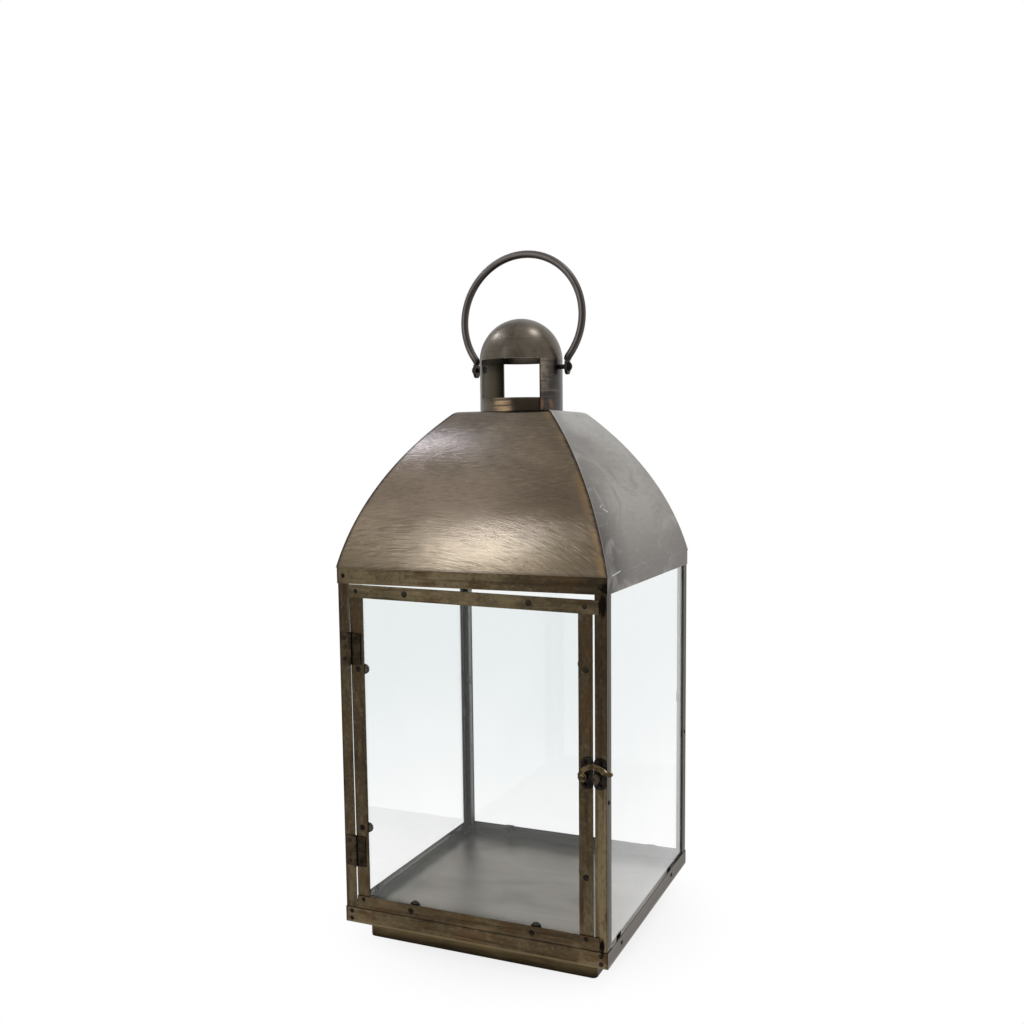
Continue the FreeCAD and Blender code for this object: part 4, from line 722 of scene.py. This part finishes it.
def makeBail(setup, name):
    tones, spans = setup["tones"], setup["spans"]
    finish = Finish(name)
    place = finish.place()
    x, z = finish.parts(place)[::2]
    lookX, lookY, lookZ = finish.facing()
    up = z - setup["centre"]
    outward = (lookX * x + lookZ * up) / finish.reach(x, up)
    cloud, fine = finish.grains(place, setup, "cloud", "fine")
    # painted shade on faces that look down
    base = finish.tint(tones["main"], tones["dark"], lookZ + cloud.swing(setup["swing"]), spans["under"])
    # painted highlight: a pale line along the wire, broken by a cloud noise
    rubbed = finish.step(cloud, *spans["lineCloud"])
    base = finish.tint(base, tones["pale"], abs(outward - setup["linePlace"]), spans["line"], rubbed)
    # painted reflection: a dark line on the faces that look to the front
    wayX, wayY = setup["coreWay"]
    sides = finish.step(abs(x), *spans["coreSides"])
    base = finish.tint(base, tones["black"], lookX * wayX + lookY * wayY, spans["core"], sides)
    base = finish.tint(base, tones["black"], z, spans["feet"])
    least, gain = setup["rough"]
    return finish.metal(base, least + fine * gain)


wear(["bail_handle"], makeBail(bail, "bail_brass"))
print("chimney and bail finished")

# window glass, a breath of grey towards the top, grey where the frame and the door's tabs lie against it
glass = {
    "tones": {
        "clear": tone(255, 255, 255), "veil": tone(243, 246, 246), "lap": tone(146, 147, 139),
        "tab": tone(96, 90, 81), "tabRim": tone(40, 36, 31),
    },
    "grain": {"smear": {"scale": (9, 9, 4), "detail": 3.0, "rough": 0.5, "bend": 0.5}},
    "spans": {"veil": (0.12, 0.34), "lap": (0.1147, 0.1151), "tab": (1.02, 0.96), "tabRim": (0.62, 0.92)},
    "smearRise": 0.16, "tabRadius": 0.0045, "lapRough": 0.4,
}
panes = {
    "clear_glass": {"pieces": ["glass_left", "glass_back"], "gloss": 1.36, "tabs": ()},
    "side_glass": {"pieces": ["glass_right"], "gloss": 1.5, "tabs": ()},
    "door_pane_glass": {
        "pieces": ["door_glass"], "gloss": 1.36,
        "tabs": (
            (-0.1016, 0.2532), (-0.1016, 0.1085), (-0.0554, 0.0430), (0.0606, 0.0430), (0.1040, 0.2719),
            (0.1040, 0.0982),
        ),
    },
}


def makeGlass(setup, name, pane):
    tones, spans = setup["tones"], setup["spans"]
    finish = Finish(name)
    place = finish.place()
    x, y, z = finish.parts(place)
    smear, = finish.grains(place, setup, "smear")
    base = finish.tint(tones["clear"], tones["veil"], z + smear * setup["smearRise"], spans["veil"])
    lapped = finish.step(finish.sum("MINIMUM", abs(x), abs(y)), *spans["lap"])
    base = finish.mix(lapped, base, tones["lap"])
    for tabX, tabZ in pane["tabs"]:
        away = finish.reach(x - tabX, z - tabZ) / setup["tabRadius"]
        shown = finish.step(away, *spans["tab"])
        base = finish.mix(shown, base, finish.tint(tones["tab"], tones["tabRim"], away, spans["tabRim"]))
        lapped = finish.sum("MAXIMUM", lapped, shown)
    inputs = {"Base Color": base, "Metallic": lapped, "Roughness": lapped * setup["lapRough"]}
    return finish.surface({**inputs, "IOR": pane["gloss"], "Transmission Weight": 1.0})


for name, pane in panes.items():
    wear(pane["pieces"], makeGlass(glass, name, pane))
print("glass finished")

# pale floor and white surroundings
white = (1, 1, 1, 1)
studio = {
    "reach": 6.0, "drop": 0.0003, "paint": (0.9, 0.9, 0.9, 1), "shadow": 0.2, "near": (0.21, 0.1), "fill": 0.75,
}


def background(finish):  # rays that show the background: straight to the camera, or by way of metal or glass
    outputs = finish.node("ShaderNodeLightPath").socket.node.outputs
    found = Link(finish, outputs["Is Camera Ray"]) + Link(finish, outputs["Is Glossy Ray"])
    found = found + Link(finish, outputs["Is Transmission Ray"])
    return finish.sum("MINIMUM", found, 1.0)


def makeFloor(setup):
    bpy.ops.object.select_all(action="DESELECT")
    bpy.ops.mesh.primitive_plane_add(size=2 * setup["reach"], location=(0, 0, -setup["drop"]))
    bpy.ops.object.transform_apply(location=True)
    floor = bpy.context.object
    floor.name = "studio_floor"
    finish = Finish("studio_white")
    x, y = finish.parts(finish.place())[:2]
    near = finish.step(finish.reach(x, y), *setup["near"], setup["shadow"])
    glow = finish.node("ShaderNodeEmission", None, {"Color": white, "Strength": 1.0})
    paint = finish.node("ShaderNodeBsdfDiffuse", None, {"Color": setup["paint"]})
    seen = finish.node("ShaderNodeMixShader", None, {0: near, 1: glow, 2: paint})
    finish.show(finish.node("ShaderNodeMixShader", None, {0: background(finish), 1: paint, 2: seen}))
    floor.data.materials.append(finish.material)


def makeSurroundings(setup):
    world = bpy.data.worlds.new("studio")
    bpy.context.scene.world = world
    finish = Finish("studio", world)
    strength = setup["fill"] + background(finish) * (1.0 - setup["fill"])
    sky = finish.node("ShaderNodeBackground", None, {"Color": white, "Strength": strength})
    finish.node("ShaderNodeOutputWorld", None, {"Surface": sky})


makeFloor(studio)
makeSurroundings(studio)

# soft lamps: the way from the aim to each lamp, its size and power
coolWhite, coldWhite = (0.84, 0.92, 1.0), (0.66, 0.76, 1.0)
lampAim, lampDistance = Vector((0.0, 0.0, 0.42)), 1.7
lamps = {
    "front_left": {"way": (-0.4, -0.83, 0.415), "size": (0.1, 0.5), "watts": 2.12, "colour": coldWhite},
    "high_left": {"way": (-0.525, -0.2, 0.83), "size": (0.12, 0.26), "watts": 1.8, "colour": coldWhite},
    "dome_left": {"way": (-0.685, 0.033, 0.728), "size": (0.24, 0.24), "watts": 4.6, "colour": coolWhite},
    "high_right": {"way": (0.357, 0.158, 0.921), "size": (0.24, 0.3), "watts": 6.2, "colour": coolWhite},
}
for name, lamp in lamps.items():
    data = bpy.data.lights.new(name, "AREA")
    data.shape = "RECTANGLE"
    data.size, data.size_y = lamp["size"]
    data.energy = lamp["watts"]
    data.color = lamp["colour"]
    way = Vector(lamp["way"]).normalized()
    holder = bpy.data.objects.new(name, data)
    bpy.context.scene.collection.objects.link(holder)
    holder.location = lampAim + way * lampDistance
    holder.rotation_euler = way.to_track_quat("Z", "Y").to_euler()
print("floor and lamps set")

# camera, fitted to the photograph's corners: angles in degrees, focal length and rise in pixels of the image
camera = {
    "turn": 23.644, "down": 5.974, "roll": -0.637, "focal": 1077.6, "rise": 53.0, "image": 1024.0, "sensor": 36.0,
    "place": (0.39581, -0.93041, 0.44253),
}
turn, down, roll = (math.radians(camera[name]) for name in ("turn", "down", "roll"))
ahead = Vector((-math.sin(turn) * math.cos(down), math.cos(turn) * math.cos(down), -math.sin(down)))
level = Vector((math.cos(turn), math.sin(turn), 0))
over = level.cross(ahead)
right = level * math.cos(roll) + over * math.sin(roll)
up = over * math.cos(roll) - level * math.sin(roll)
lens = bpy.data.cameras.new("photo_camera")
lens.sensor_width = camera["sensor"]
lens.lens = camera["sensor"] * camera["focal"] / camera["image"]
lens.shift_y = camera["rise"] / camera["image"]
eye = bpy.data.objects.new("photo_camera", lens)
bpy.context.scene.collection.objects.link(eye)
facing = Matrix((right, up, -ahead)).transposed().to_4x4()
eye.matrix_world = Matrix.Translation(camera["place"]) @ facing
bpy.context.scene.camera = eye
bpy.context.scene.view_settings.view_transform = "Standard"
print("camera set")
